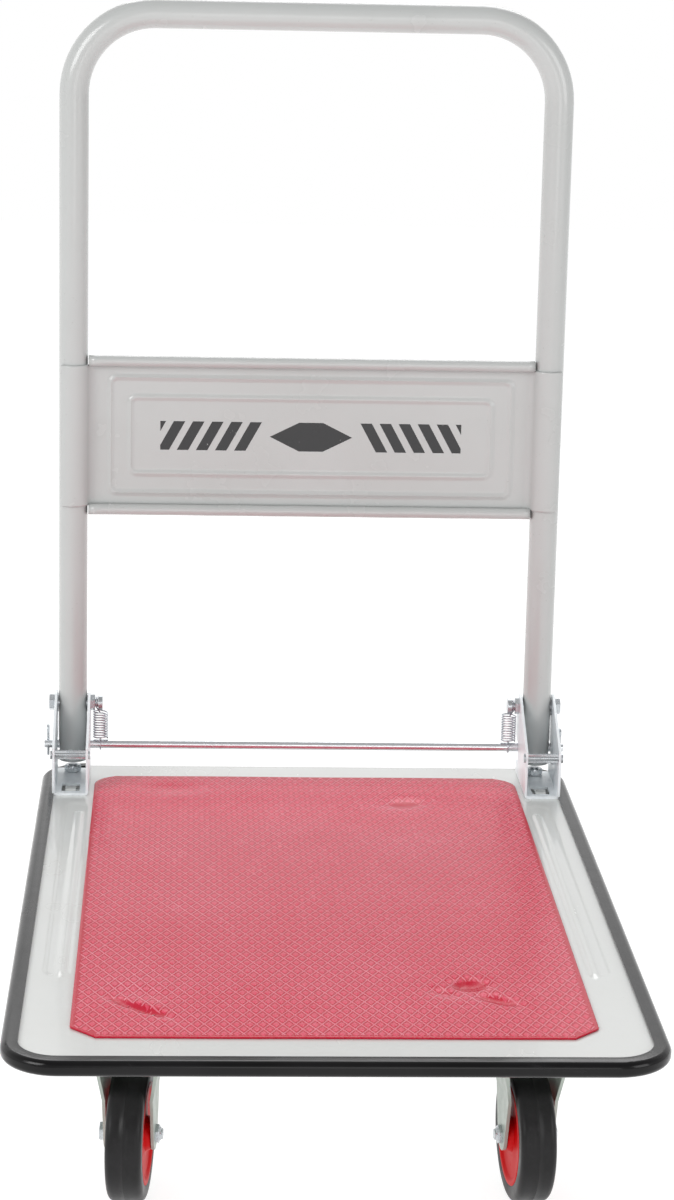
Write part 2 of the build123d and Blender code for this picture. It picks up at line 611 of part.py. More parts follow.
def panel_sleeve():
    """The end of the sheet, wrapped round the front of a post that stands at X = 0."""
    low, high = SLEEVE_HEIGHTS
    inner = TUBE_RADIUS + PIN_FIT
    outer = inner + PANEL_SHEET
    start = CenterArc((0, 0), outer, 180, SLEEVE_WRAP)
    end = CenterArc((0, 0), inner, 180, SLEEVE_WRAP)
    outline = make_face([start, end, Line(start @ 0, end @ 0), Line(start @ 1, end @ 1)])
    return Pos(0, POST_Y, DECK_TOP + low) * extrude(outline, high - low)


def handle_panel():
    """Pressed sheet between the posts, with rolled edges, two bead frames and wrapped ends."""
    low, high = PANEL_HEIGHTS
    roll_low = DECK_TOP + low + PANEL_ROLL_RADIUS
    roll_high = DECK_TOP + high - PANEL_ROLL_RADIUS
    reach = POST_OFFSET - TUBE_RADIUS - PIN_FIT
    sheet_back = POST_Y + PANEL_SHEET / 2
    sheet_front = POST_Y - PANEL_SHEET / 2
    edge = reach - PANEL_ROLL_GAP
    panel = block((-edge, edge), (sheet_front, sheet_back), (roll_low, roll_high))
    panel += block((-reach, reach), (sheet_front, sheet_back),
                   (DECK_TOP + SLEEVE_HEIGHTS[0], DECK_TOP + SLEEVE_HEIGHTS[1]))
    for inset in PANEL_BEAD_INSETS:
        panel += panel_bead(inset)
    panel += panel_roll(roll_low)
    panel += panel_roll(roll_high)
    sleeve = panel_sleeve()
    panel += Pos(POST_OFFSET, 0, 0) * sleeve
    panel += Pos(-POST_OFFSET, 0, 0) * mirror(sleeve, Plane.YZ)
    return panel


# ---- release bar and springs ----------------------------------------------
def split_pin_x(side):
    return side * (ROD_END - SPLIT_PIN_SETBACK)


def release_bar():
    """Round bar across the cart through both brackets, drilled for a split pin at each end."""
    bar = rod_along_x(ROD_RADIUS, -ROD_END, ROD_END, POST_Y, ROD_Z)
    bore = SPLIT_PIN_RADIUS + BOLT_FIT
    for side in SIDES.values():
        bar -= upright(bore, split_pin_x(side), POST_Y, ROD_Z - ROD_DROP, ROD_Z + ROD_DROP)
    return bar


def split_pin(side):
    half = SPLIT_PIN_LENGTH / 2
    pin = upright(SPLIT_PIN_RADIUS, split_pin_x(side), POST_Y, ROD_Z - half, ROD_Z + half)
    eye = Rot(0, 90, 0) * Torus(SPLIT_PIN_EYE, SPLIT_PIN_RADIUS)
    return pin + Pos(split_pin_x(side), POST_Y, ROD_Z + half + SPLIT_PIN_EYE) * eye


def rod_washer(side):
    radius, thickness = WASHER_SIZE
    start = side * (POST_OFFSET + CHEEK_OUTSIDE + SLOT_FIT)
    end = start + side * thickness
    washer = rod_along_x(radius, start, end, POST_Y, ROD_Z)
    return washer - rod_along_x(ROD_RADIUS + THREAD_FIT, start, end, POST_Y, ROD_Z)


def spring_loop(x, z, pin_radius):
    """Wire ring round a pin that lies along X."""
    ring = Torus(pin_radius + BOLT_FIT + SPRING_WIRE, SPRING_WIRE)
    return Pos(x, POST_Y, z) * Rot(0, 90, 0) * ring


def release_spring(side):
    """Outer shape of an extension spring that hangs the release bar from the pivot bolt."""
    loop_reach = ROD_RADIUS + BOLT_FIT + SPRING_WIRE
    upper = PIVOT_Z - loop_reach
    lower = ROD_Z + loop_reach
    coil_low = lower + SPRING_END_GAP
    coil_high = PIVOT_Z - max(COLLAR_RADIUS, HEX_CORNER) - SLOT_FIT
    x = side * SPRING_X
    groove = side * GROOVE_X
    spring = upright(SPRING_RADIUS, x, POST_Y, coil_low, coil_high)
    spring += spring_loop(x, ROD_Z, ROD_RADIUS)
    spring += spring_loop(groove, PIVOT_Z, PIVOT_RADIUS)
    spring += upright(SPRING_WIRE, x, POST_Y, lower, coil_low + SPRING_WIRE)
    spring += upright(SPRING_WIRE, groove, POST_Y, coil_high - SPRING_WIRE, upper)
    return spring


def caster_place(inset, end):
    """Distance of a caster's top plate from the middle in X, and its place in Y at one end of the cart."""
    from_side, from_end = inset
    return OVERALL_WIDTH / 2 - from_side, end * (OVERALL_LENGTH / 2 - from_end)


def cart_pieces():
    """Every piece of the cart, by name."""
    front = caster_place(FRONT_CASTER_INSET, -1)
    rear = caster_place(REAR_CASTER_INSET, 1)
    pieces = {
        "deck_plate": deck_plate(),
        "deck_mat": deck_mat(),
        "edge_bumper": edge_bumper(),
        "front_channel": cross_channel(front[1], front, FRONT_TOE),
        "rear_channel": cross_channel(rear[1], rear, 0),
        "handle_tube": handle_tube(),
        "handle_panel": handle_panel(),
        "release_bar": release_bar(),
    }
    for name, side in SIDES.items():
        stand = Pos(side * POST_OFFSET, 0, 0)
        pieces[name + "_bracket"] = stand * handle_bracket()
        pieces[name + "_spreader_bar"] = stand * spreader_bar()
        pieces[name + "_pivot_bolt"] = pivot_bolt(side)
        pieces[name + "_pivot_nut"] = pivot_nut(side)
        pieces[name + "_bracket_bolt"] = bracket_bolt(side)
        pieces[name + "_bracket_nut"] = bracket_nut(side)
        pieces[name + "_split_pin"] = split_pin(side)
        pieces[name + "_rod_washer"] = rod_washer(side)
        pieces[name + "_release_spring"] = release_spring(side)
        pieces["front_" + name + "_fork"] = place_caster(rigid_fork(), front, side, FRONT_TOE)
        ends = (("front_", front, FRONT_TOE, 0), ("rear_", rear, 0, SWIVEL_TRAIL))
        for end, caster, turn, axle_y in ends:
            corner = end + name
            running_gear = {
                "_tyre": wheel_tyre(),
                "_hub": wheel_hub(),
                "_sleeve": axle_sleeve(),
                "_axle_bolt": axle_bolt(side),
                "_axle_nut": axle_nut(side),
            }
            for suffix, shape in running_gear.items():
                pieces[corner + suffix] = place_caster(about_axle(shape, axle_y), caster, side, turn)
            pieces[corner + "_caster_bolts"] = place_caster(caster_bolts(), caster, side, turn)
        swivel = {
            "_fork": swivel_fork(),
            "_swivel_plate": swivel_plate(),
            "_swivel_race": swivel_race(),
            "_kingpin": kingpin(),
        }
        for suffix, shape in swivel.items():
            pieces["rear_" + name + suffix] = place_caster(shape, rear, side, 0)
    return pieces


os.makedirs("parts", exist_ok=True)
for node, piece in cart_pieces().items():
    export_step(piece, "parts/" + node + ".step")
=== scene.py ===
import json
from math import atan2, cos, pi, radians, sin, sqrt

import bmesh
import bpy
import numpy as np
from mathutils import Matrix, Vector

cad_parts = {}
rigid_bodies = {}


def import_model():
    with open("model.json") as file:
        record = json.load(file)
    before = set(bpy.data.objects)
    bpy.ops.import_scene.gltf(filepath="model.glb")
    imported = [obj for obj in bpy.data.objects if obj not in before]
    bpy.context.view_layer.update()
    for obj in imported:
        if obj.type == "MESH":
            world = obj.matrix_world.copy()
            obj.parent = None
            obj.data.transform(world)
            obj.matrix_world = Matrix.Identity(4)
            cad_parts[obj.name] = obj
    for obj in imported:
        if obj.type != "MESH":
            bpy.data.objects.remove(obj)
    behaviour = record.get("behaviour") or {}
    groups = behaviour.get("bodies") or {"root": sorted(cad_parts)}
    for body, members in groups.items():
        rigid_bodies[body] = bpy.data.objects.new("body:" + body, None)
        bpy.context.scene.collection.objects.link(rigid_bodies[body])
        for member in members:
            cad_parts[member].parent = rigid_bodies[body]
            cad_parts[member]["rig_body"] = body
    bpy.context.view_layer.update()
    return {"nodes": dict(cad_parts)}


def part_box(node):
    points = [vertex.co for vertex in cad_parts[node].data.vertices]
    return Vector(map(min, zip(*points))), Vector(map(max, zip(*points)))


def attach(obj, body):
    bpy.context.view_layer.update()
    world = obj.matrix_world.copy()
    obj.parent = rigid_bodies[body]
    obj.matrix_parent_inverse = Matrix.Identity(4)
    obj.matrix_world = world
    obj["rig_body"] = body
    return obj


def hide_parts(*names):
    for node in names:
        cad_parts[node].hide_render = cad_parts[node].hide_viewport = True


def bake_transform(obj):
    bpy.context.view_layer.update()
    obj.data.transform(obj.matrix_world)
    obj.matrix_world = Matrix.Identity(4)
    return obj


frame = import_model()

MM = 0.001


# ---- Camera -----------------------------------------------------------------
# A long lens a little above the height of the deck, looking down the length of the
# cart from its open end, slightly turned and rolled as a hand-held camera is.
CAMERA_PLACE = (-0.1121, -2.3788, 0.9730)
CAMERA_DOWN = radians(13.498)
CAMERA_RIGHT = radians(2.923)
CAMERA_ROLL = radians(1.276)
CAMERA_LENS = 92.89

lens = bpy.data.cameras.new("camera")
lens.lens = CAMERA_LENS
lens.sensor_width = 36
lens.sensor_fit = "AUTO"
camera = bpy.data.objects.new("camera", lens)
bpy.context.scene.collection.objects.link(camera)
bpy.context.scene.camera = camera
turn = Matrix.Rotation(-CAMERA_RIGHT, 4, "Z") @ Matrix.Rotation(pi / 2 - CAMERA_DOWN, 4, "X")
camera.matrix_world = Matrix.Translation(CAMERA_PLACE) @ turn @ Matrix.Rotation(CAMERA_ROLL, 4, "Z")


# ---- Studio -----------------------------------------------------------------
# Plain white behind, soft light all round that is weaker from the right, the front, overhead
# and below, and four square softboxes, so that the round tubes turn from light to shade.
def tone(red, green, blue):
    """A colour given in display values from 0 to 255, as linear light."""
    shown = np.array((red, green, blue)) / 255
    linear = np.where(shown <= 0.04045, shown / 12.92, ((shown + 0.055) / 1.055) ** 2.4)
    return (*linear.tolist(), 1.0)


class Wire:
    """An output of a node tree. Sums written with it add Math nodes to the tree."""

    def __init__(self, tree, output):
        self.tree = tree
        self.output = output

    def node(self, kind, settings=None, inputs=None, output=0):
        """Add a node: its own settings first, then the values or links of its sockets."""
        made = self.tree.nodes.new(kind)
        for name, value in (settings or {}).items():
            if name == "stops":
                set_stops(made.color_ramp, value)
            else:
                setattr(made, name, value)
        for name, value in (inputs or {}).items():
            if isinstance(value, Wire):
                self.tree.links.new(value.output, made.inputs[name])
            else:
                made.inputs[name].default_value = value
        return Wire(self.tree, made.outputs[output]) if made.outputs else None

    def math(self, operation, first, second=0.0, third=0.0):
        return self.node("ShaderNodeMath", {"operation": operation}, {0: first, 1: second, 2: third})

    def __add__(self, other):
        return self.math("ADD", self, other)

    def __radd__(self, other):
        return self.math("ADD", other, self)

    def __sub__(self, other):
        return self.math("SUBTRACT", self, other)

    def __rsub__(self, other):
        return self.math("SUBTRACT", other, self)

    def __mul__(self, other):
        return self.math("MULTIPLY", self, other)

    def __rmul__(self, other):
        return self.math("MULTIPLY", other, self)

    def __truediv__(self, other):
        return self.math("DIVIDE", self, other)

    def __lt__(self, other):
        return self.math("LESS_THAN", self, other)

    def __gt__(self, other):
        return self.math("GREATER_THAN", self, other)

    def __abs__(self):
        return self.math("ABSOLUTE", self)

    def __mod__(self, other):
        return self.math("FLOORED_MODULO", self, other)

    def spread(self, low, high, new_low=0.0, new_high=1.0):
        """Stretch values from one range to another, held at its ends."""
        return self.node("ShaderNodeMapRange", {"clamp": True}, {
            "Value": self, "From Min": low, "From Max": high, "To Min": new_low, "To Max": new_high})

    def noise(self, size, detail=3.0, roughness=0.5, stretch=(1, 1, 1)):
        """Cloudy noise from 0 to 1 whose patches are about size metres, stretched along the axes."""
        place = self.node("ShaderNodeMapping", inputs={
            "Vector": self, "Scale": [1 / part for part in stretch]})
        return self.node("ShaderNodeTexNoise", inputs={
            "Vector": place, "Scale": 1 / size, "Detail": detail, "Roughness": roughness})

    def axis(self, name):
        """One of X, Y and Z of a place."""
        return self.node("ShaderNodeSeparateXYZ", inputs={"Vector": self}, output=name)

    def between(self, first, second):
        """Colour that goes from the first to the second as this value goes from 0 to 1."""
        return self.node("ShaderNodeMix", {"data_type": "RGBA"}, {0: self, 6: first, 7: second}, output=2)


def set_stops(ramp, stops):
    while len(ramp.elements) < len(stops):
        ramp.elements.new(0.5)
    for element, (place, colour) in zip(ramp.elements, stops):
        element.position = place
        element.color = colour


def studio_world():
    """Soft light from everywhere, seen as plain white behind the cart."""
    world = bpy.data.worlds.new("studio")
    world.use_nodes = True
    tree = world.node_tree
    tree.nodes.clear()
    coordinates = tree.nodes.new("ShaderNodeTexCoord")
    way = Wire(tree, coordinates.outputs["Generated"])
    left = way.axis("X").spread(-0.9, 0.9, 1.0, SKY_RIGHT)
    behind = way.axis("Y").spread(-0.8, 0.8, SKY_FRONT, 1.0)
    up = way.axis("Z").spread(-0.3, 0.1, SKY_LOW, 1.0) * way.axis("Z").spread(0.3, 0.85, 1.0, SKY_TOP)
    seen = way.node("ShaderNodeLightPath", output="Is Camera Ray")
    strength = seen * BACKDROP + (1 - seen) * left * behind * up * SKY_LIGHT
    shade = way.node("ShaderNodeBackground", inputs={"Color": (1, 1, 1, 1), "Strength": strength})
    shade.node("ShaderNodeOutputWorld", inputs={"Surface": shade})
    bpy.context.scene.world = world


SKY_RIGHT = 0.80
SKY_FRONT = 0.60
SKY_LOW = 0.70
SKY_TOP = 0.55
SKY_LIGHT = 1.10
BACKDROP = 1.0
studio_world()

FLOOR_SIZE = 12.0
FLOOR_GLOW = 0.6        # share of the floor's look that is its own light
FLOOR_SHINE = 1.35


def studio_floor():
    """Plain pale floor, partly lit from within so that it stays near white under the cart."""
    half = FLOOR_SIZE / 2
    mesh = bpy.data.meshes.new("floor")
    corners = [(-half, -half, 0), (half, -half, 0), (half, half, 0), (-half, half, 0)]
    mesh.from_pydata(corners, [], [(0, 1, 2, 3)])
    floor = bpy.data.objects.new("floor", mesh)
    bpy.context.scene.collection.objects.link(floor)
    material = bpy.data.materials.new("floor_white")
    material.use_nodes = True
    tree = material.node_tree
    tree.nodes.clear()
    matt = Wire(tree, tree.nodes.new("ShaderNodeBsdfDiffuse").outputs[0])
    matt.output.node.inputs["Color"].default_value = (0.9, 0.9, 0.9, 1)
    glow = matt.node("ShaderNodeEmission", inputs={"Color": (1, 1, 1, 1), "Strength": FLOOR_SHINE})
    both = matt.node("ShaderNodeMixShader", inputs={0: FLOOR_GLOW, 1: matt, 2: glow})
    both.node("ShaderNodeOutputMaterial", inputs={"Surface": both})
    mesh.materials.append(material)


studio_floor()


def softbox(name, place, aim, size, power):
    """A square soft light at a place, turned to face a point."""
    light = bpy.data.lights.new(name, "AREA")
    light.size = size
    light.energy = power
    lamp = bpy.data.objects.new(name, light)
    bpy.context.scene.collection.objects.link(lamp)
    way = Vector(aim) - Vector(place)
    lamp.matrix_world = Matrix.Translation(place) @ way.to_track_quat("-Z", "Y").to_matrix().to_4x4()


CART_MIDDLE = (0.0, 0.0, 0.4)
softbox("key_left", (-2.2, -1.9, 1.9), CART_MIDDLE, 1.5, 40)
softbox("fill_right", (2.4, -2.0, 1.3), CART_MIDDLE, 1.6, 20)
softbox("front_low", (0.3, -3.4, 0.8), CART_MIDDLE, 1.2, 7)
softbox("top_back", (0.2, 2.4, 2.6), CART_MIDDLE, 2.0, 30)
bpy.context.scene.view_settings.view_transform = "Standard"


# ---- Deck -------------------------------------------------------------------
# Pressed steel tray, white-grey paint: the top turns down into a skirt all round, and
# a raised bead in a shallow pan stiffens each side. It has a few dents from use.
DECK_SHEET = 1.5 * MM
DECK_SKIRT = 8 * MM
SIDE_PAN = (0.2040, -0.1885, 0.2450, 0.0105, 0.5 * MM)     # centre X, ends in Y, half width, depth
SIDE_BEAD = (0.2010, -0.1895, 0.2200, 0.0052, 1.6 * MM)    # centre X, ends in Y, half width, height
LOCK_WINDOW = (0.2109, 0.284, 0.0088, 0.0120, 6 * MM)       # centre, half sizes, depth seen through it
# centre X, centre Y, half length, half width, turn in degrees, depth
DENTS = (
    (-0.141, -0.257, 0.026, 0.0055, -42, 4.0 * MM),
    (-0.146, -0.230, 0.024, 0.016, -20, 1.0 * MM),
    (0.104, -0.209, 0.013, 0.011, 10, 4.6 * MM),
    (0.122, -0.240, 0.019, 0.0065, -36, 3.2 * MM),
    (0.085, -0.226, 0.012, 0.008, -40, 1.8 * MM),
    (0.086, 0.244, 0.020, 0.013, 20, 2.4 * MM),
    (-0.119, 0.285, 0.024, 0.016, 0, 1.4 * MM),
)


def smooth_step(value):
    """0 below 0, 1 above 1, and a smooth rise between."""
    held = np.clip(value, 0, 1)
    return held * held * (3 - 2 * held)


def slot_distance(x, y, centre_x, low_y, high_y, half_width):
    """Distance outside a round-ended slot along Y, negative inside."""
    nearest = np.clip(y, low_y + half_width, high_y - half_width)
    return np.hypot(np.abs(x) - centre_x, y - nearest) - half_width


def dents(x, y):
    """How far the deck is pushed down: a smooth hollow for each dent, and a slow waviness."""
    drop = 0.12 * MM * np.sin(x * 37 + 1.3) * np.sin(y * 23 + 0.4)
    for centre_x, centre_y, long, wide, turned, depth in DENTS:
        angle = radians(turned)
        along = (x - centre_x) * cos(angle) + (y - centre_y) * sin(angle)
        across = (y - centre_y) * cos(angle) - (x - centre_x) * sin(angle)
        drop = drop + depth * np.exp(-((along / long) ** 2 + (across / wide) ** 2) ** 1.3)
    return drop


def deck_height(x, y):
    """Top of the deck: flat, less the pan, the dents and the punched lock windows, plus the bead."""
    pan_x, pan_low, pan_high, pan_half, pan_depth = SIDE_PAN
    bead_x, bead_low, bead_high, bead_half, bead_height = SIDE_BEAD
    pan = smooth_step(-slot_distance(x, y, pan_x, pan_low, pan_high, pan_half) / (3 * MM))
    bead = smooth_step(-slot_distance(x, y, bead_x, bead_low, bead_high, bead_half) / (4 * MM))
    window_x, window_y, half_x, half_y, window_depth = LOCK_WINDOW
    window = (np.abs(np.abs(x) - window_x) < half_x) & (np.abs(y - window_y) < half_y)
    return DECK_TOP - dents(x, y) - pan_depth * pan + bead_height * bead - window_depth * window


def deck_outline(half_x, half_y, corner, per_side, per_corner):
    """Points round a rectangle with round corners, anticlockwise from the front right corner."""
    corner = max(corner, 0)
    spots = []
    middles = ((1, -1, -90), (1, 1, 0), (-1, 1, 90), (-1, -1, 180))
    for number, (side, end, start) in enumerate(middles):
        angle = np.radians(start + np.linspace(0, 90, per_corner))
        arc_x = side * (half_x - corner) + corner * np.cos(angle)
        arc_y = end * (half_y - corner) + corner * np.sin(angle)
        next_side, next_end, next_start = middles[(number + 1) % 4]
        to_x = next_side * (half_x - corner) + corner * cos(radians(next_start))
        to_y = next_end * (half_y - corner) + corner * sin(radians(next_start))
        part = np.linspace(0, 1, per_side[number % 2] + 2)[1:-1]
        line_x = arc_x[-1] + (to_x - arc_x[-1]) * part
        line_y = arc_y[-1] + (to_y - arc_y[-1]) * part
        spots.append(np.stack([np.concatenate([arc_x, line_x]), np.concatenate([arc_y, line_y])], -1))
    return np.concatenate(spots)


def grid_faces(rows, columns, close_rows=False, close_columns=False):
    """Quads of a grid of points numbered row by row. A closed side joins its last line to its first."""
    row, column = np.meshgrid(np.arange(rows if close_rows else rows - 1),
                              np.arange(columns if close_columns else columns - 1), indexing="ij")
    next_row = (row + 1) % rows
    next_column = (column + 1) % columns
    corners = (row * columns + column, row * columns + next_column,
               next_row * columns + next_column, next_row * columns + column)
    return np.stack(corners, -1).reshape(-1, 4)


def new_piece(name, points, faces, material, body, replaced=(), sharp=40):
    """A piece from its points and faces: doubles merged, smooth but for sharp edges."""
    mesh = bpy.data.meshes.new(name)
    mesh.from_pydata(np.asarray(points).reshape(-1, 3).tolist(), [], np.asarray(faces).tolist())
    return finish_piece(name, mesh, material, body, replaced, sharp)


def finish_piece(name, mesh, material, body, replaced, sharp):
    work = bmesh.new()
    work.from_mesh(mesh)
    bmesh.ops.remove_doubles(work, verts=work.verts, dist=1e-6)
    work.to_mesh(mesh)
    work.free()
    mesh.shade_smooth()
    mesh.set_sharp_from_angle(angle=radians(sharp))
    mesh.materials.clear()
    mesh.materials.append(material)
    piece = bpy.data.objects.new(name, mesh)
    bpy.context.scene.collection.objects.link(piece)
    if body:
        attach(piece, body)
    if replaced:
        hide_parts(*replaced)
    return piece


def face_outward(piece):
    """Turn the faces of a closed shell to point out of it."""
    work = bmesh.new()
    work.from_mesh(piece.data)
    bmesh.ops.recalc_face_normals(work, faces=work.faces)
    work.to_mesh(piece.data)
    work.free()


def thicken(piece, wall):
    """Give a sheet its thickness, on the side away from its normals."""
    shell = piece.modifiers.new("wall", "SOLIDIFY")
    shell.thickness = wall
    shell.offset = -1
    shell.use_even_offset = True


def new_finish(name):
    """An empty material and its place in the object's own coordinates."""
    material = bpy.data.materials.new(name)
    material.use_nodes = True
    tree = material.node_tree
    tree.nodes.clear()
    coordinates = tree.nodes.new("ShaderNodeTexCoord")
    return material, Wire(tree, coordinates.outputs["Object"])


def show(place, inputs):
    """End a material with one surface shader."""
    surface = place.node("ShaderNodeBsdfPrincipled", inputs=inputs)
    place.node("ShaderNodeOutputMaterial", inputs={"Surface": surface})


def bump(place, height, depth, strength=1.0):
    return place.node("ShaderNodeBump", inputs={"Height": height, "Distance": depth, "Strength": strength})


def paint_layers(place, colour, worn):
    """Stoved paint: slow changes of tone, fine specks of dirt, smears and a soft orange peel."""
    cloud = place.noise(0.09, 4).spread(0.35, 0.7)
    specks = place.noise(0.0022, 2).spread(0.70, 0.78)
    smears = place.noise(0.03, 3, 0.5, (1, 2.5, 1)).spread(0.50, 0.75)
    colour = (cloud * 0.30).between(colour, worn)
    colour = (specks * 0.22).between(colour, tone(120, 116, 108))
    colour = (smears * 0.15).between(colour, worn)
    rough = 0.20 + cloud * 0.06 + smears * 0.08
    peel = place.noise(0.006, 1) * 0.6 + place.noise(0.0011, 1) * 0.1
    return colour, rough, bump(place, peel, 0.035 * MM)


def deck_paint():
    """Pale grey stoved paint, a little dirty all over."""
    material, place = new_finish("deck_paint")
    colour, rough, normal = paint_layers(place, tone(221, 223, 221), tone(205, 205, 201))
    show(place, {"Base Color": colour, "Roughness": rough, "Normal": normal,
                 "Coat Weight": 0.6, "Coat Roughness": 0.045})
    return material


DECK_PAINT = deck_paint()
plate_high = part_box("deck_plate")[1]
mat_low, mat_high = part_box("deck_mat")
DECK_TOP = mat_low[2]
DECK_HALF = (plate_high[0], plate_high[1])
DECK_CORNER = 38.5 * MM


def deck_rings():
    """Profile from the foot of the skirt to the middle of the deck, as (inset, height) rows."""
    skirt = [(0, DECK_TOP - DECK_SKIRT), (0, DECK_TOP - 0.5 * DECK_SKIRT), (0, DECK_TOP - DECK_SHEET)]
    turn = [(DECK_SHEET * (1 - cos(angle)), DECK_TOP - DECK_SHEET * (1 - sin(angle)))
            for angle in np.radians((30, 60, 90))]
    fine = np.arange(5, 47, 1.1) * MM
    coarse = np.arange(50, 200, 6.0) * MM
    top = [(inset, DECK_TOP) for inset in (*fine, *coarse, DECK_HALF[0])]
    return skirt + turn + top


def deck_pressing():
    """Each ring is the deck's outline moved in by the inset. The top rows follow deck_height."""
    rings = deck_rings()
    points = []
    for inset, height in rings:
        outline = deck_outline(DECK_HALF[0] - inset, DECK_HALF[1] - inset,
                               min(DECK_CORNER - inset, DECK_HALF[0] - inset), (176, 84), 16)
        level = np.full(len(outline), height)
        if inset > DECK_SHEET:
            level = deck_height(outline[:, 0], outline[:, 1])
        points.append(np.column_stack([outline, level]))
    faces = grid_faces(len(rings), len(points[0]), close_columns=True)
    plate = new_piece("deck_pressing", np.stack(points), faces, DECK_PAINT, "deck",
                      ["deck_plate"])
    thicken(plate, DECK_SHEET)


deck_pressing()


def lock_tab(side, sign):
    """f(u, v): a strip along the window with a flat-topped pad on it.

    The pad's ends fall as the eighth power of the distance from its middle.
    """
    u, v = np.meshgrid(np.linspace(-1, 1, TAB_STEPS[0]), np.linspace(-1, 1, TAB_STEPS[1]), indexing="ij")
    along = np.abs(v) * TAB_HALF[1] / PAD_HALF_LENGTH
    rise = PAD_RISE * np.clip(1 - along ** 8, 0, 1)
    x = sign * LOCK_WINDOW[0] + TAB_HALF[0] * u
    y = LOCK_WINDOW[1] + TAB_HALF[1] * v
    tab = new_piece(side + "_lock_tab", np.stack([x, y, DECK_TOP + rise], -1),
                    grid_faces(*TAB_STEPS)[:, ::-1], DECK_PAINT, "deck")
    thicken(tab, DECK_SHEET)


TAB_HALF = (4.8 * MM, 12.4 * MM)
TAB_STEPS = (13, 61)            # points across and along
PAD_HALF_LENGTH = 6.5 * MM
PAD_RISE = 2 * MM
for side, sign in (("left", -1), ("right", 1)):
    lock_tab(side, sign)


# ---- Mat --------------------------------------------------------------------
# Red vinyl sheet glued to the deck, embossed with a net of fine raised lines that cross
# in long diamonds and a small lozenge in every cell. It follows the dents of the deck,
# where the pattern is pressed flat, and is paler where it is rubbed.
# The raised lines and lozenges are painted paler than the sheet, as painted highlight, and the sheet between
# them a deeper red, as painted shade.
MAT_CHAMFER = 19 * MM
MAT_REAR_RADIUS = 26 * MM
MAT_THICKNESS = mat_high[2] - mat_low[2]
RIB_HEIGHT = 0.30 * MM
RIB_HALF_WIDTH = 0.70 * MM
RIB_SIDE_GAP = 3.2 * MM         # plain border of the sheet beside the ribs, and at their ends
RIB_END_GAP = 3 * MM
DIAMOND = (9.4 * MM, 18.2 * MM)
LOZENGE = ((0.60, -0.5), (0.50, 0.8), (0.36, 1.0))     # share of the cell, share of the rib's height
MAT_COLUMNS = 176
# centre X, centre Y and radius of the places rubbed pale
MAT_RUBS = ((-0.135, -0.222, 0.045), (0.100, -0.235, 0.045), (-0.120, -0.282, 0.026), (0.080, 0.235, 0.040))


def mat_half_width(y):
    """Half the width of the mat at a distance along the deck: cut corners in front, round ones behind."""
    half = mat_high[0]
    front = np.clip(mat_low[1] + MAT_CHAMFER - y, 0, MAT_CHAMFER)
    rear = np.clip(y - mat_high[1] + MAT_REAR_RADIUS, 0, MAT_REAR_RADIUS)
    return half - front - (MAT_REAR_RADIUS - np.sqrt(MAT_REAR_RADIUS ** 2 - rear ** 2))


def mat_height(x, y):
    """Top of the sheet between its ribs: it follows the dents, and turns down at its edge."""
    edge = np.minimum(mat_half_width(y) - np.abs(x), np.minimum(y - mat_low[1], mat_high[1] - y))
    roll = 0.35 * MM * (1 - smooth_step(edge / (1.4 * MM)))
    return mat_high[2] - RIB_HEIGHT - dents(x, y) - roll


def pattern_rise(x, y, share):
    """Top of a raised part at a share of the ribs' height: where a dent is deep it is under the sheet."""
    left = 1 - smooth_step((dents(x, y) - 0.9 * MM) / (1.6 * MM))
    return share * RIB_HEIGHT * left - RIB_HEIGHT * (1 - left)


def vinyl(name, base, worn_and_highlight, painted_highlight_lift):
    """Soft vinyl, paler and duller where shoes and boxes have worn it. The painted highlight lift moves a
    whole copy towards the pale colour: raised parts are paler as painted highlight, and the sheet between
    them stays a deeper red as painted shade.
    """
    material, place = new_finish(name)
    cloud = place.noise(0.11, 5, 0.6).spread(0.36, 0.68)
    rubs = place.noise(0.02, 6, 0.7, (1, 3, 1)).spread(0.50, 0.72)
    grain = place.noise(0.0016, 2)
    flecks = place.noise(0.006, 5, 0.7).spread(0.42, 0.66)
    # Painted highlight: the lift is added to the wear mask, so a raised rib or lozenge is painted paler all
    # over.
    scuff_and_highlight = cloud * 0.20 + rubs * 0.20 + painted_highlight_lift
    for rub_x, rub_y, reach in MAT_RUBS:
        off = place.node("ShaderNodeVectorMath", {"operation": "DISTANCE"},
                         {0: place, 1: (rub_x, rub_y, mat_high[2])}, "Value")
        scuff_and_highlight = scuff_and_highlight + off.spread(0, reach, 1, 0) * flecks * 0.5
    colour = scuff_and_highlight.between(base, worn_and_highlight)
    colour = (grain.spread(0.62, 0.75) * 0.2).between(colour, tone(170, 50, 70))
    rough = 0.20 + rubs * 0.10 + grain * 0.05
    show(place, {"Base Color": colour, "Roughness": rough, "Normal": bump(place, grain, 0.04 * MM),
                 "Specular IOR Level": 0.33})
    return material


# One vinyl in three copies: the sheet is a deeper red as painted shade between the raised parts, and the ribs
# and lozenges are paler as painted highlight, on top of their real wear.
MAT_VINYL = vinyl("mat_vinyl", tone(196, 6, 46), tone(208, 56, 86), 0.0)
RIB_VINYL = vinyl("mat_rib_vinyl", tone(226, 100, 120), tone(242, 164, 178), 0.15)
LOZENGE_VINYL = vinyl("mat_lozenge_vinyl", tone(222, 52, 84), tone(230, 112, 134), 0.1)


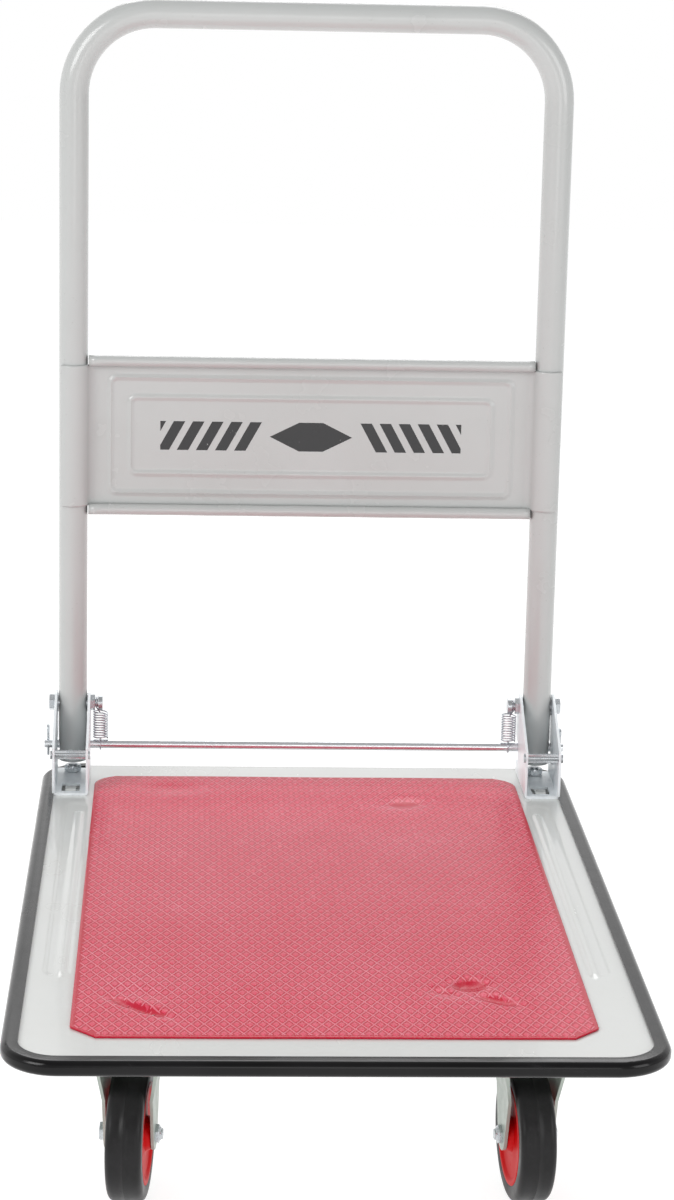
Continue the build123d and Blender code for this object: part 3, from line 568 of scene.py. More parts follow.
def mat_sheet():
    """x = u times the half width at y, so the rows fill the outline from edge to edge."""
    edge_rows = np.array((0.0, 0.6, 1.4)) * MM
    past_edge = 2.4 * MM
    fine_step = 1.3 * MM
    dented = np.arange(*DENTED_ROWS, fine_step)
    front = np.linspace(mat_low[1] + past_edge, dented[0] - fine_step, 12)
    plain = np.arange(DENTED_ROWS[1], mat_high[1] - 4 * MM, 3.4 * MM)
    y = np.concatenate([mat_low[1] + edge_rows, front, dented, plain,
                        [mat_high[1] - past_edge], mat_high[1] - edge_rows[::-1]])
    inner = np.linspace(-1, 1, MAT_COLUMNS)
    u = np.concatenate([[-1, -0.997, -0.993], inner[1:-1], [0.993, 0.997, 1]])
    grid_y, grid_u = np.meshgrid(y, u, indexing="ij")
    grid_x = grid_u * mat_half_width(grid_y)
    points = np.stack([grid_x, grid_y, mat_height(grid_x, grid_y)], -1)
    sheet = new_piece("mat_sheet", points, grid_faces(len(y), len(u)), MAT_VINYL, "deck",
                      ["deck_mat"])
    thicken(sheet, MAT_THICKNESS - RIB_HEIGHT - 0.3 * MM)


DENTED_ROWS = (-0.284, -0.184)


def rib_line(number, lean):
    """Ends in Y of one rib, x = pitch * (number - lean * y / long pitch), inside the mat's edge."""
    y = np.linspace(mat_low[1], mat_high[1], 1300)
    x = DIAMOND[0] * (number - lean * y / DIAMOND[1])
    inside = y[np.abs(x) < mat_half_width(y) - RIB_SIDE_GAP]
    inside = inside[(inside > mat_low[1] + RIB_END_GAP) & (inside < mat_high[1] - RIB_END_GAP)]
    return (inside.min(), inside.max()) if len(inside) > 8 else None


def mat_ribs():
    """Each rib is a low trapezium carried along its line, sunk a little into the sheet."""
    section = np.array(((-1.0, -0.5), (-0.45, 1.0), (0.45, 1.0), (1.0, -0.5)))
    points = []
    faces = []
    count = 0
    reach = int(mat_high[0] / DIAMOND[0] + mat_high[1] / DIAMOND[1]) + 2
    for lean in (-1, 1):
        share = 1 if lean > 0 else 0.94
        for number in range(-reach, reach + 1):
            ends = rib_line(number, lean)
            if ends is None:
                continue
            y = np.linspace(*ends, max(2, int((ends[1] - ends[0]) / (5 * MM))))
            y = y[(y < DENTED_ROWS[0]) | (y > DENTED_ROWS[1])]
            dented = np.arange(*DENTED_ROWS, 1.6 * MM)
            y = np.sort(np.concatenate([y, dented[(dented > ends[0]) & (dented < ends[1])]]))[:, None]
            steps = len(y)
            if steps < 2:
                continue
            across = section[None, :, 0] * RIB_HALF_WIDTH / cos(atan2(DIAMOND[0], DIAMOND[1]))
            x = DIAMOND[0] * (number - lean * y / DIAMOND[1]) + across
            y = y + 0 * across
            z = mat_height(x, y) + pattern_rise(x, y, section[None, :, 1] * share)
            points.append(np.stack([x, y, z], -1).reshape(-1, 3))
            quads = grid_faces(steps, 4, close_columns=True) + count
            last = count + 4 * (steps - 1)
            caps = np.array(((count + 3, count + 2, count + 1, count), (last, last + 1, last + 2, last + 3)))
            faces.append(np.concatenate([quads, caps]))
            count += 4 * steps
    ribs = new_piece("mat_ribs", np.concatenate(points), np.concatenate(faces), RIB_VINYL, "deck")
    face_outward(ribs)


def mat_lozenges():
    """A low pyramid in each cell of the net, half way between the crossings.

    Its middle is x = pitch * a / 2, y = long pitch * b / 2, for whole a and b whose sum is odd.
    """
    reach_x = int(2 * mat_high[0] / DIAMOND[0]) + 1
    reach_y = int(2 * mat_high[1] / DIAMOND[1]) + 1
    a, b = np.meshgrid(np.arange(-reach_x, reach_x + 1), np.arange(-reach_y, reach_y + 1), indexing="ij")
    centre_x = DIAMOND[0] / 2 * a[(a + b) % 2 == 1]
    centre_y = DIAMOND[1] / 2 * b[(a + b) % 2 == 1]
    inside = ((np.abs(centre_x) < mat_half_width(np.clip(centre_y, mat_low[1], mat_high[1])) - 4.5 * MM)
              & (centre_y > mat_low[1] + 5.5 * MM) & (centre_y < mat_high[1] - 5.5 * MM))
    centre_x = centre_x[inside][:, None]
    centre_y = centre_y[inside][:, None]
    rings = []
    for share, level in LOZENGE:
        x = centre_x + share * DIAMOND[0] / 2 * np.array((1, 0, -1, 0))
        y = centre_y + share * DIAMOND[1] / 2 * np.array((0, 1, 0, -1))
        rings.append(np.stack([x, y, mat_height(x, y) + pattern_rise(x, y, level)], -1))
    points = np.stack(rings, 1).reshape(len(centre_x), -1, 3)
    sides = grid_faces(len(LOZENGE), 4, close_columns=True)
    top = len(points[0]) - 4 + np.arange(4)[None, :]
    one = np.concatenate([sides, top])
    faces = one[None] + len(points[0]) * np.arange(len(points))[:, None, None]
    new_piece("mat_lozenges", points, faces.reshape(-1, 4), LOZENGE_VINYL, "deck")


mat_sheet()
mat_ribs()
mat_lozenges()


# ---- Bumper -----------------------------------------------------------------
# Black rubber edging with a C section, pushed over the skirt and left open at the rear.
# It is glossy from its mould, with dust in its surface and scuffs along its outer face.
def softened(node, name, material, width=0.35 * MM, sharp=32, segments=2):
    """A copy of a CAD piece with its flat faces joined up and its sharp edges rounded a little."""
    mesh = frame["nodes"][node].data.copy()
    work = bmesh.new()
    work.from_mesh(mesh)
    bmesh.ops.remove_doubles(work, verts=work.verts, dist=1e-6)
    bmesh.ops.dissolve_limit(work, angle_limit=radians(0.6), verts=work.verts, edges=work.edges)
    work.to_mesh(mesh)
    work.free()
    piece = finish_piece(name, mesh, material, body_of(node), [node], sharp)
    edge = piece.modifiers.new("edge", "BEVEL")
    edge.width = width
    edge.segments = segments
    edge.limit_method = "ANGLE"
    edge.angle_limit = radians(sharp)
    edge.harden_normals = True
    return piece


def body_of(node):
    """The body that carries a CAD piece."""
    return frame["nodes"][node]["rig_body"]


def bumper_rubber():
    """Near-black glossy rubber with faint grey dust and scuffs."""
    material, place = new_finish("bumper_rubber")
    cloud = place.noise(0.05, 4, 0.6).spread(0.35, 0.72)
    scuffs = place.noise(0.008, 5, 0.7, (4, 4, 1)).spread(0.60, 0.74)
    ripple = place.noise(0.03, 2) + place.noise(0.0015, 2) * 0.05
    colour = (cloud * 0.25 + scuffs * 0.35).between(tone(5, 4, 5), tone(36, 34, 36))
    rough = 0.14 + cloud * 0.10 + scuffs * 0.20
    show(place, {"Base Color": colour, "Roughness": rough, "Normal": bump(place, ripple, 0.25 * MM),
                 "Specular IOR Level": 0.3, "Sheen Weight": 0.35, "Sheen Roughness": 0.25})
    return material


BUMPER_RUBBER = bumper_rubber()
softened("edge_bumper", "bumper", BUMPER_RUBBER, 0.5 * MM)


# ---- Cross channels ---------------------------------------------------------
# Two hat sections under the deck, welded on and painted with it. They carry the casters.
for node in ("front_channel", "rear_channel"):
    softened(node, node + "_steel", DECK_PAINT)


# ---- Brackets ---------------------------------------------------------------
# Folded zinc-plated channels that carry the handle's pivots, each with a riveted
# spreader bar across its front and one bolt through the deck.
def zinc(name, bright, dull, rough_low, rough_high, shine):
    """Bright zinc plate: a bluish silver with cloudy grain, fine rolling lines and dull spots."""
    material, place = new_finish(name)
    cloud = place.noise(0.010, 4, 0.6).spread(0.34, 0.70)
    spots = place.noise(0.0024, 3, 0.6).spread(0.58, 0.72)
    lines = place.noise(0.0008, 2, 0.5, (1, 1, 14))
    colour = (cloud * 0.5 + spots * 0.2).between(bright, dull)
    rough = rough_low + (rough_high - rough_low) * cloud + spots * 0.10
    show(place, {"Base Color": colour, "Roughness": rough, "Metallic": shine - spots * 0.15,
                 "Normal": bump(place, lines + cloud * 0.4, 0.012 * MM)})
    return material


ZINC = zinc("zinc_steel", tone(246, 250, 252), tone(224, 231, 236), 0.28, 0.42, 0.16)
BOLT_ZINC = zinc("bolt_zinc", tone(206, 210, 213), tone(158, 164, 170), 0.18, 0.32, 0.88)

SIDES = {"left": -1, "right": 1}
for side in SIDES:
    softened(side + "_bracket", side + "_bracket_plate", ZINC, 0.4 * MM)
    softened(side + "_spreader_bar", side + "_bracket_spreader", BOLT_ZINC, 0.4 * MM)
    softened(side + "_bracket_bolt", side + "_deck_bolt", BOLT_ZINC, 0.3 * MM)


# ---- Nuts and bolt heads ----------------------------------------------------
# Zinc-plated hexagons with turned chamfers. The wheel axles have domed self-locking nuts.
HEX_HALF_FLATS = 6.5 * MM
HEX_SIDES = 6
HEX_ROUND = 96


def hexagon_radius(angle):
    """Radius of a hexagon: half its width over flats, divided by the cosine of the angle off each flat."""
    off = np.mod(angle + pi / HEX_SIDES, 2 * pi / HEX_SIDES) - pi / HEX_SIDES
    return HEX_HALF_FLATS / np.cos(off)


def turned_hexagon(profile, bore):
    """Rings of (distance along the axis, greatest radius): the hexagon, or that radius if less."""
    angle = np.linspace(0, 2 * pi, HEX_ROUND, endpoint=False)
    rows = []
    for along, limit in profile:
        radius = np.minimum(hexagon_radius(angle), limit)
        ring = np.stack([np.full_like(angle, along), radius * np.cos(angle), radius * np.sin(angle)], -1)
        rows.append(ring)
    if bore:
        for along in (profile[-1][0], profile[0][0]):
            ring = np.stack([np.full_like(angle, along), bore * np.cos(angle), bore * np.sin(angle)], -1)
            rows.append(ring)
    return np.stack(rows)


def placed(points, start, direction):
    """Points drawn along +X from the origin, moved to start and pointed along direction."""
    rotation = Vector((1, 0, 0)).rotation_difference(Vector(direction)).to_matrix()
    return points @ np.array(rotation).T + np.array(start)


def nut_profile(height, chamfer_both):
    corner = HEX_HALF_FLATS / cos(pi / HEX_SIDES)
    face = HEX_HALF_FLATS * 0.96
    rise = (corner - face) * 0.5
    low = [(0, face), (rise, corner)] if chamfer_both else [(0, corner)]
    return low + [(height * 0.5, corner), (height - rise, corner), (height, face)]


def hexagon_piece(name, node, start, direction, height, bore, dome=0.0):
    """A chamfered hexagon in place of a CAD one, closed by a dome where it has no bore through it."""
    profile = nut_profile(height, bool(bore))
    if dome:
        crown = [(height + dome * sin(angle), HEX_HALF_FLATS * 0.80 * cos(angle))
                 for angle in np.radians((0, 18, 36, 54, 70, 82, 89.9))]
        profile = profile + [(height, HEX_HALF_FLATS * 0.86)] + crown
    points = placed(turned_hexagon(profile, bore), start, direction)
    rows = len(points)
    faces = grid_faces(rows, HEX_ROUND, close_rows=bool(bore), close_columns=True)
    if not bore:
        under = list(range(HEX_ROUND))[::-1]
        crest = list(range((rows - 1) * HEX_ROUND, rows * HEX_ROUND))
        faces = faces.tolist() + [under, crest]
        mesh = bpy.data.meshes.new(name)
        mesh.from_pydata(points.reshape(-1, 3).tolist(), [], faces)
        piece = finish_piece(name, mesh, BOLT_ZINC, body_of(node), [node], 25)
    else:
        piece = new_piece(name, points, faces, BOLT_ZINC, body_of(node), [node], 25)
    face_outward(piece)
    return piece


def node_axis(node):
    """Middle and two corners of a CAD piece's box."""
    low, high = (np.array(corner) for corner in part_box(node))
    return (low + high) / 2, low, high


BOLT_FIT = 0.03 * MM
for side, sign in SIDES.items():
    middle, low, high = node_axis(side + "_bracket_nut")
    hexagon_piece(side + "_deck_nut", side + "_bracket_nut", (middle[0], middle[1], low[2]), (0, 0, 1),
                  high[2] - low[2], 4 * MM + BOLT_FIT)


# ---- Handle tube ------------------------------------------------------------
# Bent round tube, one piece from post to post, in light grey stoved paint with soft smears.
# It stands between two washers at each pivot.
def handle_paint(name, mark=False):
    """Light grey gloss paint. With the mark, a band of plain slanted bars is printed on it."""
    material, place = new_finish(name)
    colour, rough, normal = paint_layers(place, tone(190, 192, 191), tone(179, 181, 179))
    if mark:
        ink = printed_band(place)
        worn = place.noise(0.003, 4, 0.7).spread(0.70, 0.76)
        colour = (ink * (1 - worn)).between(colour, tone(28, 28, 30))
    show(place, {"Base Color": colour, "Roughness": rough, "Normal": normal,
                 "Coat Weight": 0.4, "Coat Roughness": 0.07})
    return material


HANDLE_PAINT = handle_paint("handle_paint")
frame["nodes"]["handle_tube"].data.materials.clear()
frame["nodes"]["handle_tube"].data.materials.append(HANDLE_PAINT)


# ---- Handle panel -----------------------------------------------------------
# Pressed sheet between the posts: its top and bottom edges are rolled to the front, its
# ends are drawn round the posts, and two bead frames stiffen it. A printed band crosses it.
panel_low, panel_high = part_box("handle_panel")
tube_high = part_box("handle_tube")[1]
PANEL_SHEET = 1.2 * MM
PANEL_MIDDLE_Z = (panel_low[2] + panel_high[2]) / 2
PANEL_HALF_HEIGHT = (panel_high[2] - panel_low[2]) / 2
TUBE_RADIUS = 12.7 * MM
POST_X = tube_high[0] - TUBE_RADIUS
POST_Y = tube_high[1] - TUBE_RADIUS
SHEET_FRONT = POST_Y - PANEL_SHEET / 2
ROLL_RADIUS = 4.9 * MM
ROLL_REACH = POST_X - TUBE_RADIUS - 0.8 * MM
WRAP_HALF_HEIGHT = 63.25 * MM
WRAP_RADIUS = TUBE_RADIUS + 0.06 * MM + PANEL_SHEET
WRAP_FILLET = 8 * MM
WRAP_END = radians(320)
BEAD_INSETS = (20 * MM, 37.5 * MM)
BEAD_HALF_WIDTH = 3.2 * MM
BEAD_HEIGHT = 1.5 * MM
BEAD_CORNER = 6 * MM
# across, up from the middle, size, depth
PANEL_DENTS = (
    (0.058, 0.030, 0.016, 0.6 * MM),
    (0.098, 0.022, 0.012, 0.5 * MM),
    (-0.120, -0.026, 0.020, 0.3 * MM),
)


def printed_band(place):
    """Bars slanted towards the middle from both sides, with a plain lozenge between, on the front face."""
    across = abs(place.axis("X"))
    up = place.axis("Z") - PANEL_MIDDLE_Z
    front = place.axis("Y") < SHEET_FRONT + PANEL_SHEET / 3
    inside = (abs(up) < PRINT_HALF_HEIGHT) * (across < PRINT_HALF_WIDTH) * front
    slant = across + up * PRINT_SLANT
    bars = (slant % PRINT_PITCH < PRINT_PITCH * 0.60) * (slant > PRINT_START)
    lozenge = (across + abs(up) * 2) < PRINT_START * 0.72
    return inside * bars.math("MAXIMUM", bars, lozenge)


PRINT_HALF_WIDTH = 134 * MM
PRINT_HALF_HEIGHT = 13 * MM
PRINT_PITCH = 17 * MM
PRINT_SLANT = 0.55
PRINT_START = 51 * MM
PANEL_PAINT = handle_paint("panel_paint", mark=True)


def panel_relief(x, z):
    """How far the sheet stands forward: the bead frames, a slow crown and a few small dents."""
    half_width = POST_X - TUBE_RADIUS
    up = z - PANEL_MIDDLE_Z
    forward = 0.4 * MM * np.cos(x * 9) * np.cos(up * 20)
    for inset in BEAD_INSETS:
        past_x = np.abs(x) - (half_width - inset - BEAD_CORNER)
        past_z = np.abs(up) - (PANEL_HALF_HEIGHT - inset - BEAD_CORNER)
        inner = np.minimum(np.maximum(past_x, past_z), 0)
        off = np.abs(np.hypot(np.maximum(past_x, 0), np.maximum(past_z, 0)) + inner - BEAD_CORNER)
        forward = forward + BEAD_HEIGHT * smooth_step(1 - off / BEAD_HALF_WIDTH)
    for dent_x, dent_up, size, depth in PANEL_DENTS:
        forward = forward - depth * np.exp(-((x - dent_x) ** 2 + (up - dent_up) ** 2) / size ** 2)
    return forward


def wrap_path():
    """Right end of the sheet as (X, Y) from its flat: a hollow fillet, then round the post."""
    reach = sqrt((WRAP_RADIUS + WRAP_FILLET) ** 2 - WRAP_FILLET ** 2)
    meet = pi + atan2(WRAP_FILLET, reach)
    hollow = np.linspace(pi / 2, meet - pi, 12)
    fillet_x = POST_X - reach + WRAP_FILLET * np.cos(hollow)
    fillet_y = SHEET_FRONT - WRAP_FILLET + WRAP_FILLET * np.sin(hollow)
    post = np.linspace(meet, WRAP_END, 40)
    post_x = POST_X + WRAP_RADIUS * np.cos(post)
    post_y = SHEET_FRONT + WRAP_RADIUS * np.sin(post)
    return np.concatenate([fillet_x, post_x[1:]]), np.concatenate([fillet_y, post_y[1:]])


def panel_field():
    """The sheet's path in plan, carried up its height. The relief fades out where the wrap begins."""
    wrap_x, wrap_y = wrap_path()
    flat_x = np.linspace(-wrap_x[0], wrap_x[0], 240)[1:-1]
    path_x = np.concatenate([-wrap_x[::-1], flat_x, wrap_x])
    path_y = np.concatenate([wrap_y[::-1], np.full_like(flat_x, SHEET_FRONT), wrap_y])
    z = np.linspace(PANEL_MIDDLE_Z - WRAP_HALF_HEIGHT, PANEL_MIDDLE_Z + WRAP_HALF_HEIGHT, 90)
    grid_z, grid_x = np.meshgrid(z, path_x, indexing="ij")
    fade = smooth_step((wrap_x[0] - np.abs(grid_x)) / (6 * MM))
    grid_y = path_y[None, :] - panel_relief(grid_x, grid_z) * fade
    points = np.stack([grid_x, grid_y, grid_z], -1)
    sheet = new_piece("panel_sheet", points, grid_faces(len(z), len(path_x)), PANEL_PAINT, "handle",
                      ["handle_panel"])
    thicken(sheet, PANEL_SHEET)


def panel_rolled_edge(name, sign):
    """A short flat, then most of a circle to the front: the section is carried along the edge."""
    edge_z = PANEL_MIDDLE_Z + sign * PANEL_HALF_HEIGHT
    flat = np.linspace(PANEL_MIDDLE_Z + sign * WRAP_HALF_HEIGHT, edge_z - sign * ROLL_RADIUS, 4)
    angle = np.linspace(0, radians(300), 28)[1:]
    inner = ROLL_RADIUS - PANEL_SHEET
    roll_y = SHEET_FRONT - inner * (1 - np.cos(angle))
    roll_z = edge_z - sign * ROLL_RADIUS + sign * inner * np.sin(angle)
    y = np.concatenate([np.full_like(flat, SHEET_FRONT), roll_y])
    z = np.concatenate([flat, roll_z])
    x = np.linspace(-ROLL_REACH, ROLL_REACH, 60)
    grid_x, grid_y = np.meshgrid(x, y, indexing="ij")
    grid_z = np.broadcast_to(z, grid_x.shape)
    wave = 0.15 * MM * np.sin(grid_x * 60 + sign)
    points = np.stack([grid_x, grid_y, grid_z - sign * np.abs(wave)], -1)
    if sign < 0:
        points = points[::-1]
    roll = new_piece(name, points, grid_faces(*grid_x.shape)[:, ::-1], PANEL_PAINT, "handle")
    thicken(roll, PANEL_SHEET)


panel_field()
panel_rolled_edge("panel_top_roll", 1)
panel_rolled_edge("panel_bottom_roll", -1)


# ---- Handle pivots ----------------------------------------------------------
# Hinge bolts with their heads outside, thin lock nuts inside, and plain washers that
# keep the painted posts off the cheeks of the brackets.
def lathe(name, profile, start, direction, material, body, replaced=(), sharp=35, steps=96):
    """A closed profile of (distance along the axis, radius), turned round the axis."""
    profile = np.array(profile)
    angle = np.linspace(0, 2 * pi, steps, endpoint=False)
    along = np.broadcast_to(profile[:, :1], (len(profile), steps))
    points = np.stack([along, profile[:, 1:] * np.cos(angle), profile[:, 1:] * np.sin(angle)], -1)
    faces = grid_faces(len(profile), steps, close_rows=True, close_columns=True)
    piece = new_piece(name, placed(points, start, direction), faces, material, body, replaced, sharp)
    face_outward(piece)
    return piece


def washer_profile(thickness, outer, inner):
    edge = min(0.25 * MM, thickness / 3)
    return [(0, inner), (0, outer - edge), (edge, outer), (thickness - edge, outer),
            (thickness, outer - edge), (thickness, inner)]


CHEEK_INSIDE = 13.8 * MM
SPACER = 0.9 * MM
SPACER_RADIUS = 8.5 * MM
PIVOT_RADIUS = 4 * MM
for side, sign in SIDES.items():
    PIVOT_Z = node_axis(side + "_pivot_bolt")[0][2]
    softened(side + "_pivot_bolt", side + "_hinge_bolt", BOLT_ZINC, 0.5 * MM)
    softened(side + "_pivot_nut", side + "_hinge_nut", BOLT_ZINC, 0.35 * MM)
    for where, edge in (("inner", -1), ("outer", 1)):
        face = sign * POST_X + sign * edge * CHEEK_INSIDE
        lathe(side + "_" + where + "_spacer", washer_profile(SPACER, SPACER_RADIUS, PIVOT_RADIUS + 0.3 * MM),
              (face, POST_Y, PIVOT_Z), (-sign * edge, 0, 0), BOLT_ZINC, "deck")


# ---- Release bar ------------------------------------------------------------
# Bright steel bar across both brackets. Each end has a washer and a split pin.
BAR_ZINC = zinc("bar_zinc", tone(234, 237, 240), tone(206, 210, 214), 0.16, 0.26, 0.85)
softened("release_bar", "foot_bar", BAR_ZINC, 0.5 * MM)
for side in SIDES:
    softened(side + "_rod_washer", side + "_bar_washer", ZINC, 0.25 * MM)
    softened(side + "_split_pin", side + "_cotter", BOLT_ZINC, 0.1 * MM, 60, 1)


# ---- Release springs --------------------------------------------------------
# Close-wound extension springs that hang the bar from the pivot bolts: a coil with one
# loop in the bolt's groove and one round the bar. They stretch when the bar is pressed.
WIRE_RADIUS = 0.65 * MM
COIL_PITCH = 2.35 * MM
COIL_RADIUS = 6.9 * MM - WIRE_RADIUS
COIL_FROM_POST = 25.0 * MM
GROOVE_FROM_POST = 21.4 * MM
LOOP_RADIUS = 4.9 * MM          # middle of the wire, round the pivot bolt or the bar
COIL_ABOVE_BAR = 5.7 * MM
COIL_BELOW_PIVOT = 8.2 * MM


def spring_steel():
    """Bright zinc-plated wire, duller where it is handled less."""
    material, place = new_finish("spring_steel")
    grain = place.noise(0.003, 3).spread(0.35, 0.7)
    colour = grain.between(tone(180, 182, 188), tone(232, 234, 238))
    show(place, {"Base Color": colour, "Roughness": 0.30 + grain * 0.15, "Metallic": 1.0,
                 "Normal": bump(place, grain, 0.02 * MM)})
    return material


SPRING_STEEL = spring_steel()


def wire_helix(centre, radius, low, high, turns):
    """f(turn, round): a small circle carried round a larger one while it climbs."""
    turn = np.linspace(0, 2 * pi * turns, int(turns * 20) + 1)[:, None]
    section = np.linspace(0, 2 * pi, 8, endpoint=False)[None, :]
    out = radius + WIRE_RADIUS * np.cos(section)
    rise = low + (high - low) * turn / (2 * pi * turns) + WIRE_RADIUS * np.sin(section)
    points = np.stack([centre[0] + out * np.cos(turn), centre[1] + out * np.sin(turn), rise], -1)
    return points, grid_faces(*points.shape[:2], close_columns=True)


def wire_loop(centre, radius):
    """f(angle, round): a wire ring about a pin that lies along X."""
    angle = np.linspace(0, 2 * pi, 36, endpoint=False)[:, None]
    section = np.linspace(0, 2 * pi, 8, endpoint=False)[None, :]
    out = radius + WIRE_RADIUS * np.cos(section)
    points = np.stack([centre[0] + WIRE_RADIUS * np.sin(section) + 0 * angle,
                       centre[1] + out * np.cos(angle), centre[2] + out * np.sin(angle)], -1)
    return points, grid_faces(*points.shape[:2], close_rows=True, close_columns=True)


def wire_link(start, end):
    """A straight piece of wire from a coil to its loop, its round section level."""
    along = np.linspace(0, 1, 9)[:, None]
    section = np.linspace(0, 2 * pi, 8, endpoint=False)[None, :]
    line = [start[axis] + (end[axis] - start[axis]) * along for axis in range(3)]
    points = np.stack([line[0] + WIRE_RADIUS * np.cos(section), line[1] + WIRE_RADIUS * np.sin(section),
                       line[2] + 0 * section], -1)
    return points, grid_faces(*points.shape[:2], close_columns=True)


def release_spring(side, sign):
    node = side + "_release_spring"
    rod_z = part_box(node)[0][2] + LOOP_RADIUS + WIRE_RADIUS
    coil_x = sign * (POST_X - COIL_FROM_POST)
    groove_x = sign * (POST_X - GROOVE_FROM_POST)
    coil_low = rod_z + COIL_ABOVE_BAR
    coil_high = PIVOT_Z - COIL_BELOW_PIVOT
    turns = (coil_high - coil_low) / COIL_PITCH
    shapes = [
        wire_helix((coil_x, POST_Y), COIL_RADIUS, coil_low, coil_high, turns),
        wire_loop((coil_x, POST_Y, rod_z), LOOP_RADIUS),
        wire_loop((groove_x, POST_Y, PIVOT_Z), LOOP_RADIUS),
        wire_link((coil_x, POST_Y, rod_z + LOOP_RADIUS), (coil_x, POST_Y - COIL_RADIUS, coil_low)),
        wire_link((coil_x, POST_Y - COIL_RADIUS, coil_high), (groove_x, POST_Y, PIVOT_Z - LOOP_RADIUS)),
    ]
    points = []
    faces = []
    count = 0
    for part, quads in shapes:
        points.append(part.reshape(-1, 3))
        faces.append(quads + count)
        count += len(points[-1])
    spring = new_piece(side + "_coil_spring", np.concatenate(points), np.concatenate(faces), SPRING_STEEL,
                       None, [node], 60)
    face_outward(spring)
    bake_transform(spring)


for side, sign in SIDES.items():
    release_spring(side, sign)


# ---- Casters ----------------------------------------------------------------
# Pressed zinc-plated forks. The front pair is rigid. The rear pair turns on a ball race
# with a riveted kingpin, so that the axle trails behind the swivel.
FORK_ZINC = zinc("fork_zinc", tone(178, 186, 178), tone(156, 165, 158), 0.34, 0.48, 0.35)
for side, sign in SIDES.items():
    for end in ("front", "rear"):
        corner = end + "_" + side
        softened(corner + "_fork", corner + "_caster_fork", FORK_ZINC, 0.5 * MM)
        softened(corner + "_caster_bolts", corner + "_plate_bolts", BOLT_ZINC, 0.3 * MM)
        softened(corner + "_sleeve", corner + "_axle_sleeve", BOLT_ZINC, 0.2 * MM)
    corner = "rear_" + side
    softened(corner + "_swivel_plate", corner + "_top_plate", ZINC, 0.4 * MM)
    softened(corner + "_swivel_race", corner + "_ball_race", ZINC, 0.3 * MM)
    softened(corner + "_kingpin", corner + "_king_rivet", BOLT_ZINC, 0.5 * MM)


# ---- Wheels -----------------------------------------------------------------
# Black rubber tyres moulded on red plastic centres, with a fine parting line round the
# tread. The axle bolts have their heads outside and domed nuts towards the middle.
def tyre_rubber():
    """Satin black rubber, greyer on the tread where it runs, with scuffs and dust."""
    material, place = new_finish("tyre_rubber")
    cloud = place.noise(0.02, 5, 0.65).spread(0.36, 0.70)
    scuffs = place.noise(0.004, 4, 0.7).spread(0.60, 0.74)
    grain = place.noise(0.0009, 2)
    colour = (cloud * 0.45 + scuffs * 0.4).between(tone(5, 4, 5), tone(36, 34, 37))
    rough = 0.34 + cloud * 0.14 + scuffs * 0.14
    show(place, {"Base Color": colour, "Roughness": rough, "Specular IOR Level": 0.35,
                 "Normal": bump(place, grain + scuffs * 0.3, 0.06 * MM)})
    return material


def hub_plastic():
    """Red moulded plastic, slightly faded, with a satin face and fine scratches."""
    material, place = new_finish("hub_plastic")
    cloud = place.noise(0.03, 4).spread(0.35, 0.7)
    scratches = place.noise(0.004, 4, 0.7, (1, 1, 5)).spread(0.62, 0.74)
    colour = (cloud * 0.5 + scratches * 0.3).between(tone(196, 0, 4), tone(198, 18, 22))
    rough = 0.38 + cloud * 0.12 + scratches * 0.2
    show(place, {"Base Color": colour, "Roughness": rough, "Specular IOR Level": 0.12,
                 "Normal": bump(place, place.noise(0.0012, 2), 0.03 * MM)})
    return material


TYRE_RUBBER = tyre_rubber()
HUB_PLASTIC = hub_plastic()
WHEEL_RADIUS = 50.8 * MM
RIM_RADIUS = 38.6 * MM
TREAD_HALF = 13.5 * MM
SHOULDER = 5.0 * MM
HUB_DISH = 2.2 * MM
BOSS_RADIUS = 12 * MM
BOSS_HALF = 16 * MM
HUB_BORE = 6.06 * MM
FRONT_TOE = 6.0


def tyre_section():
    """Half a tyre from its rim to the middle of the tread, mirrored: a round shoulder, and a parting line."""
    tread = WHEEL_RADIUS - 0.25 * MM
    angle = np.radians(np.linspace(90, 0, 12))
    flat = TREAD_HALF - SHOULDER
    half = [(0, WHEEL_RADIUS), (0.35 * MM, WHEEL_RADIUS - 0.02 * MM), (0.55 * MM, tread), (flat * 0.5, tread)]
    half += [(flat + SHOULDER * cos(a), tread - SHOULDER * (1 - sin(a))) for a in angle]
    half += [(TREAD_HALF, RIM_RADIUS + 1.2 * MM), (TREAD_HALF - 0.4 * MM, RIM_RADIUS + 0.5 * MM),
             (TREAD_HALF - 0.4 * MM, RIM_RADIUS)]
    return [(-along, radius) for along, radius in half[:0:-1]] + half


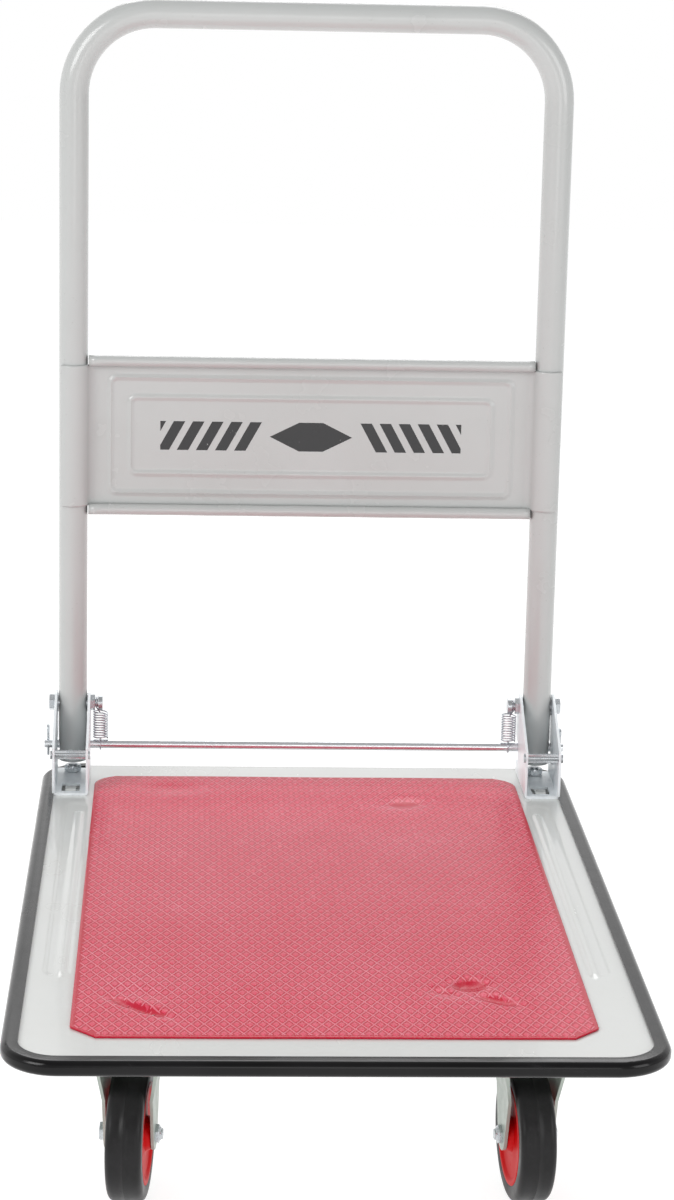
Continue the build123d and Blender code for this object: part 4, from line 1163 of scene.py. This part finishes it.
def hub_section():
    """Half a wheel centre from its rim to its bore, mirrored: bevelled rim, dished face and tapered boss."""
    face = TREAD_HALF - HUB_DISH
    inner_rim = RIM_RADIUS - 4.5 * MM
    half = [(0, RIM_RADIUS), (TREAD_HALF - 0.7 * MM, RIM_RADIUS),
            (TREAD_HALF - 0.1 * MM, RIM_RADIUS - 0.5 * MM),
            (TREAD_HALF, RIM_RADIUS - 1.2 * MM), (TREAD_HALF, inner_rim + 1.4 * MM),
            (TREAD_HALF - 0.5 * MM, inner_rim + 0.5 * MM), (face + 0.4 * MM, inner_rim - 0.6 * MM),
            (face, inner_rim - 1.6 * MM), (face - 0.6 * MM, 0.5 * (inner_rim + BOSS_RADIUS)),
            (face, BOSS_RADIUS + 3.0 * MM), (face + 0.5 * MM, BOSS_RADIUS + 1.4 * MM),
            (BOSS_HALF - 0.8 * MM, BOSS_RADIUS), (BOSS_HALF - 0.2 * MM, BOSS_RADIUS - 0.5 * MM),
            (BOSS_HALF, BOSS_RADIUS - 1.2 * MM), (BOSS_HALF, HUB_BORE)]
    return [(-along, radius) for along, radius in half[:0:-1]] + half


def axle_frame(corner):
    """Middle of a wheel's axle, and the way from it towards the outside of the cart."""
    middle = node_axis(corner + "_tyre")[0]
    sign = -1 if "left" in corner else 1
    toe = radians(FRONT_TOE) if corner.startswith("front") else 0.0
    return middle, (sign * cos(toe), sin(toe), 0.0)


FORK_OUTSIDE = 18.8 * MM
AXLE_NUT = 3.0 * MM
DOME_HEIGHT = 2.2 * MM
for end in ("front", "rear"):
    for side in SIDES:
        corner = end + "_" + side
        middle, outward = axle_frame(corner)
        inward = tuple(-part for part in outward)
        body = body_of(corner + "_tyre")
        lathe(corner + "_rubber_tyre", tyre_section(), middle, outward, TYRE_RUBBER, body,
              [corner + "_tyre"], 50, 160)
        lathe(corner + "_wheel_centre", hub_section(), middle, outward, HUB_PLASTIC, body,
              [corner + "_hub"], 50, 128)
        softened(corner + "_axle_bolt", corner + "_axle", BOLT_ZINC, 0.5 * MM)
        seat = tuple(np.array(middle) + FORK_OUTSIDE * np.array(inward))
        hexagon_piece(corner + "_dome_nut", corner + "_axle_nut", seat, inward, AXLE_NUT, 0.0, DOME_HEIGHT)
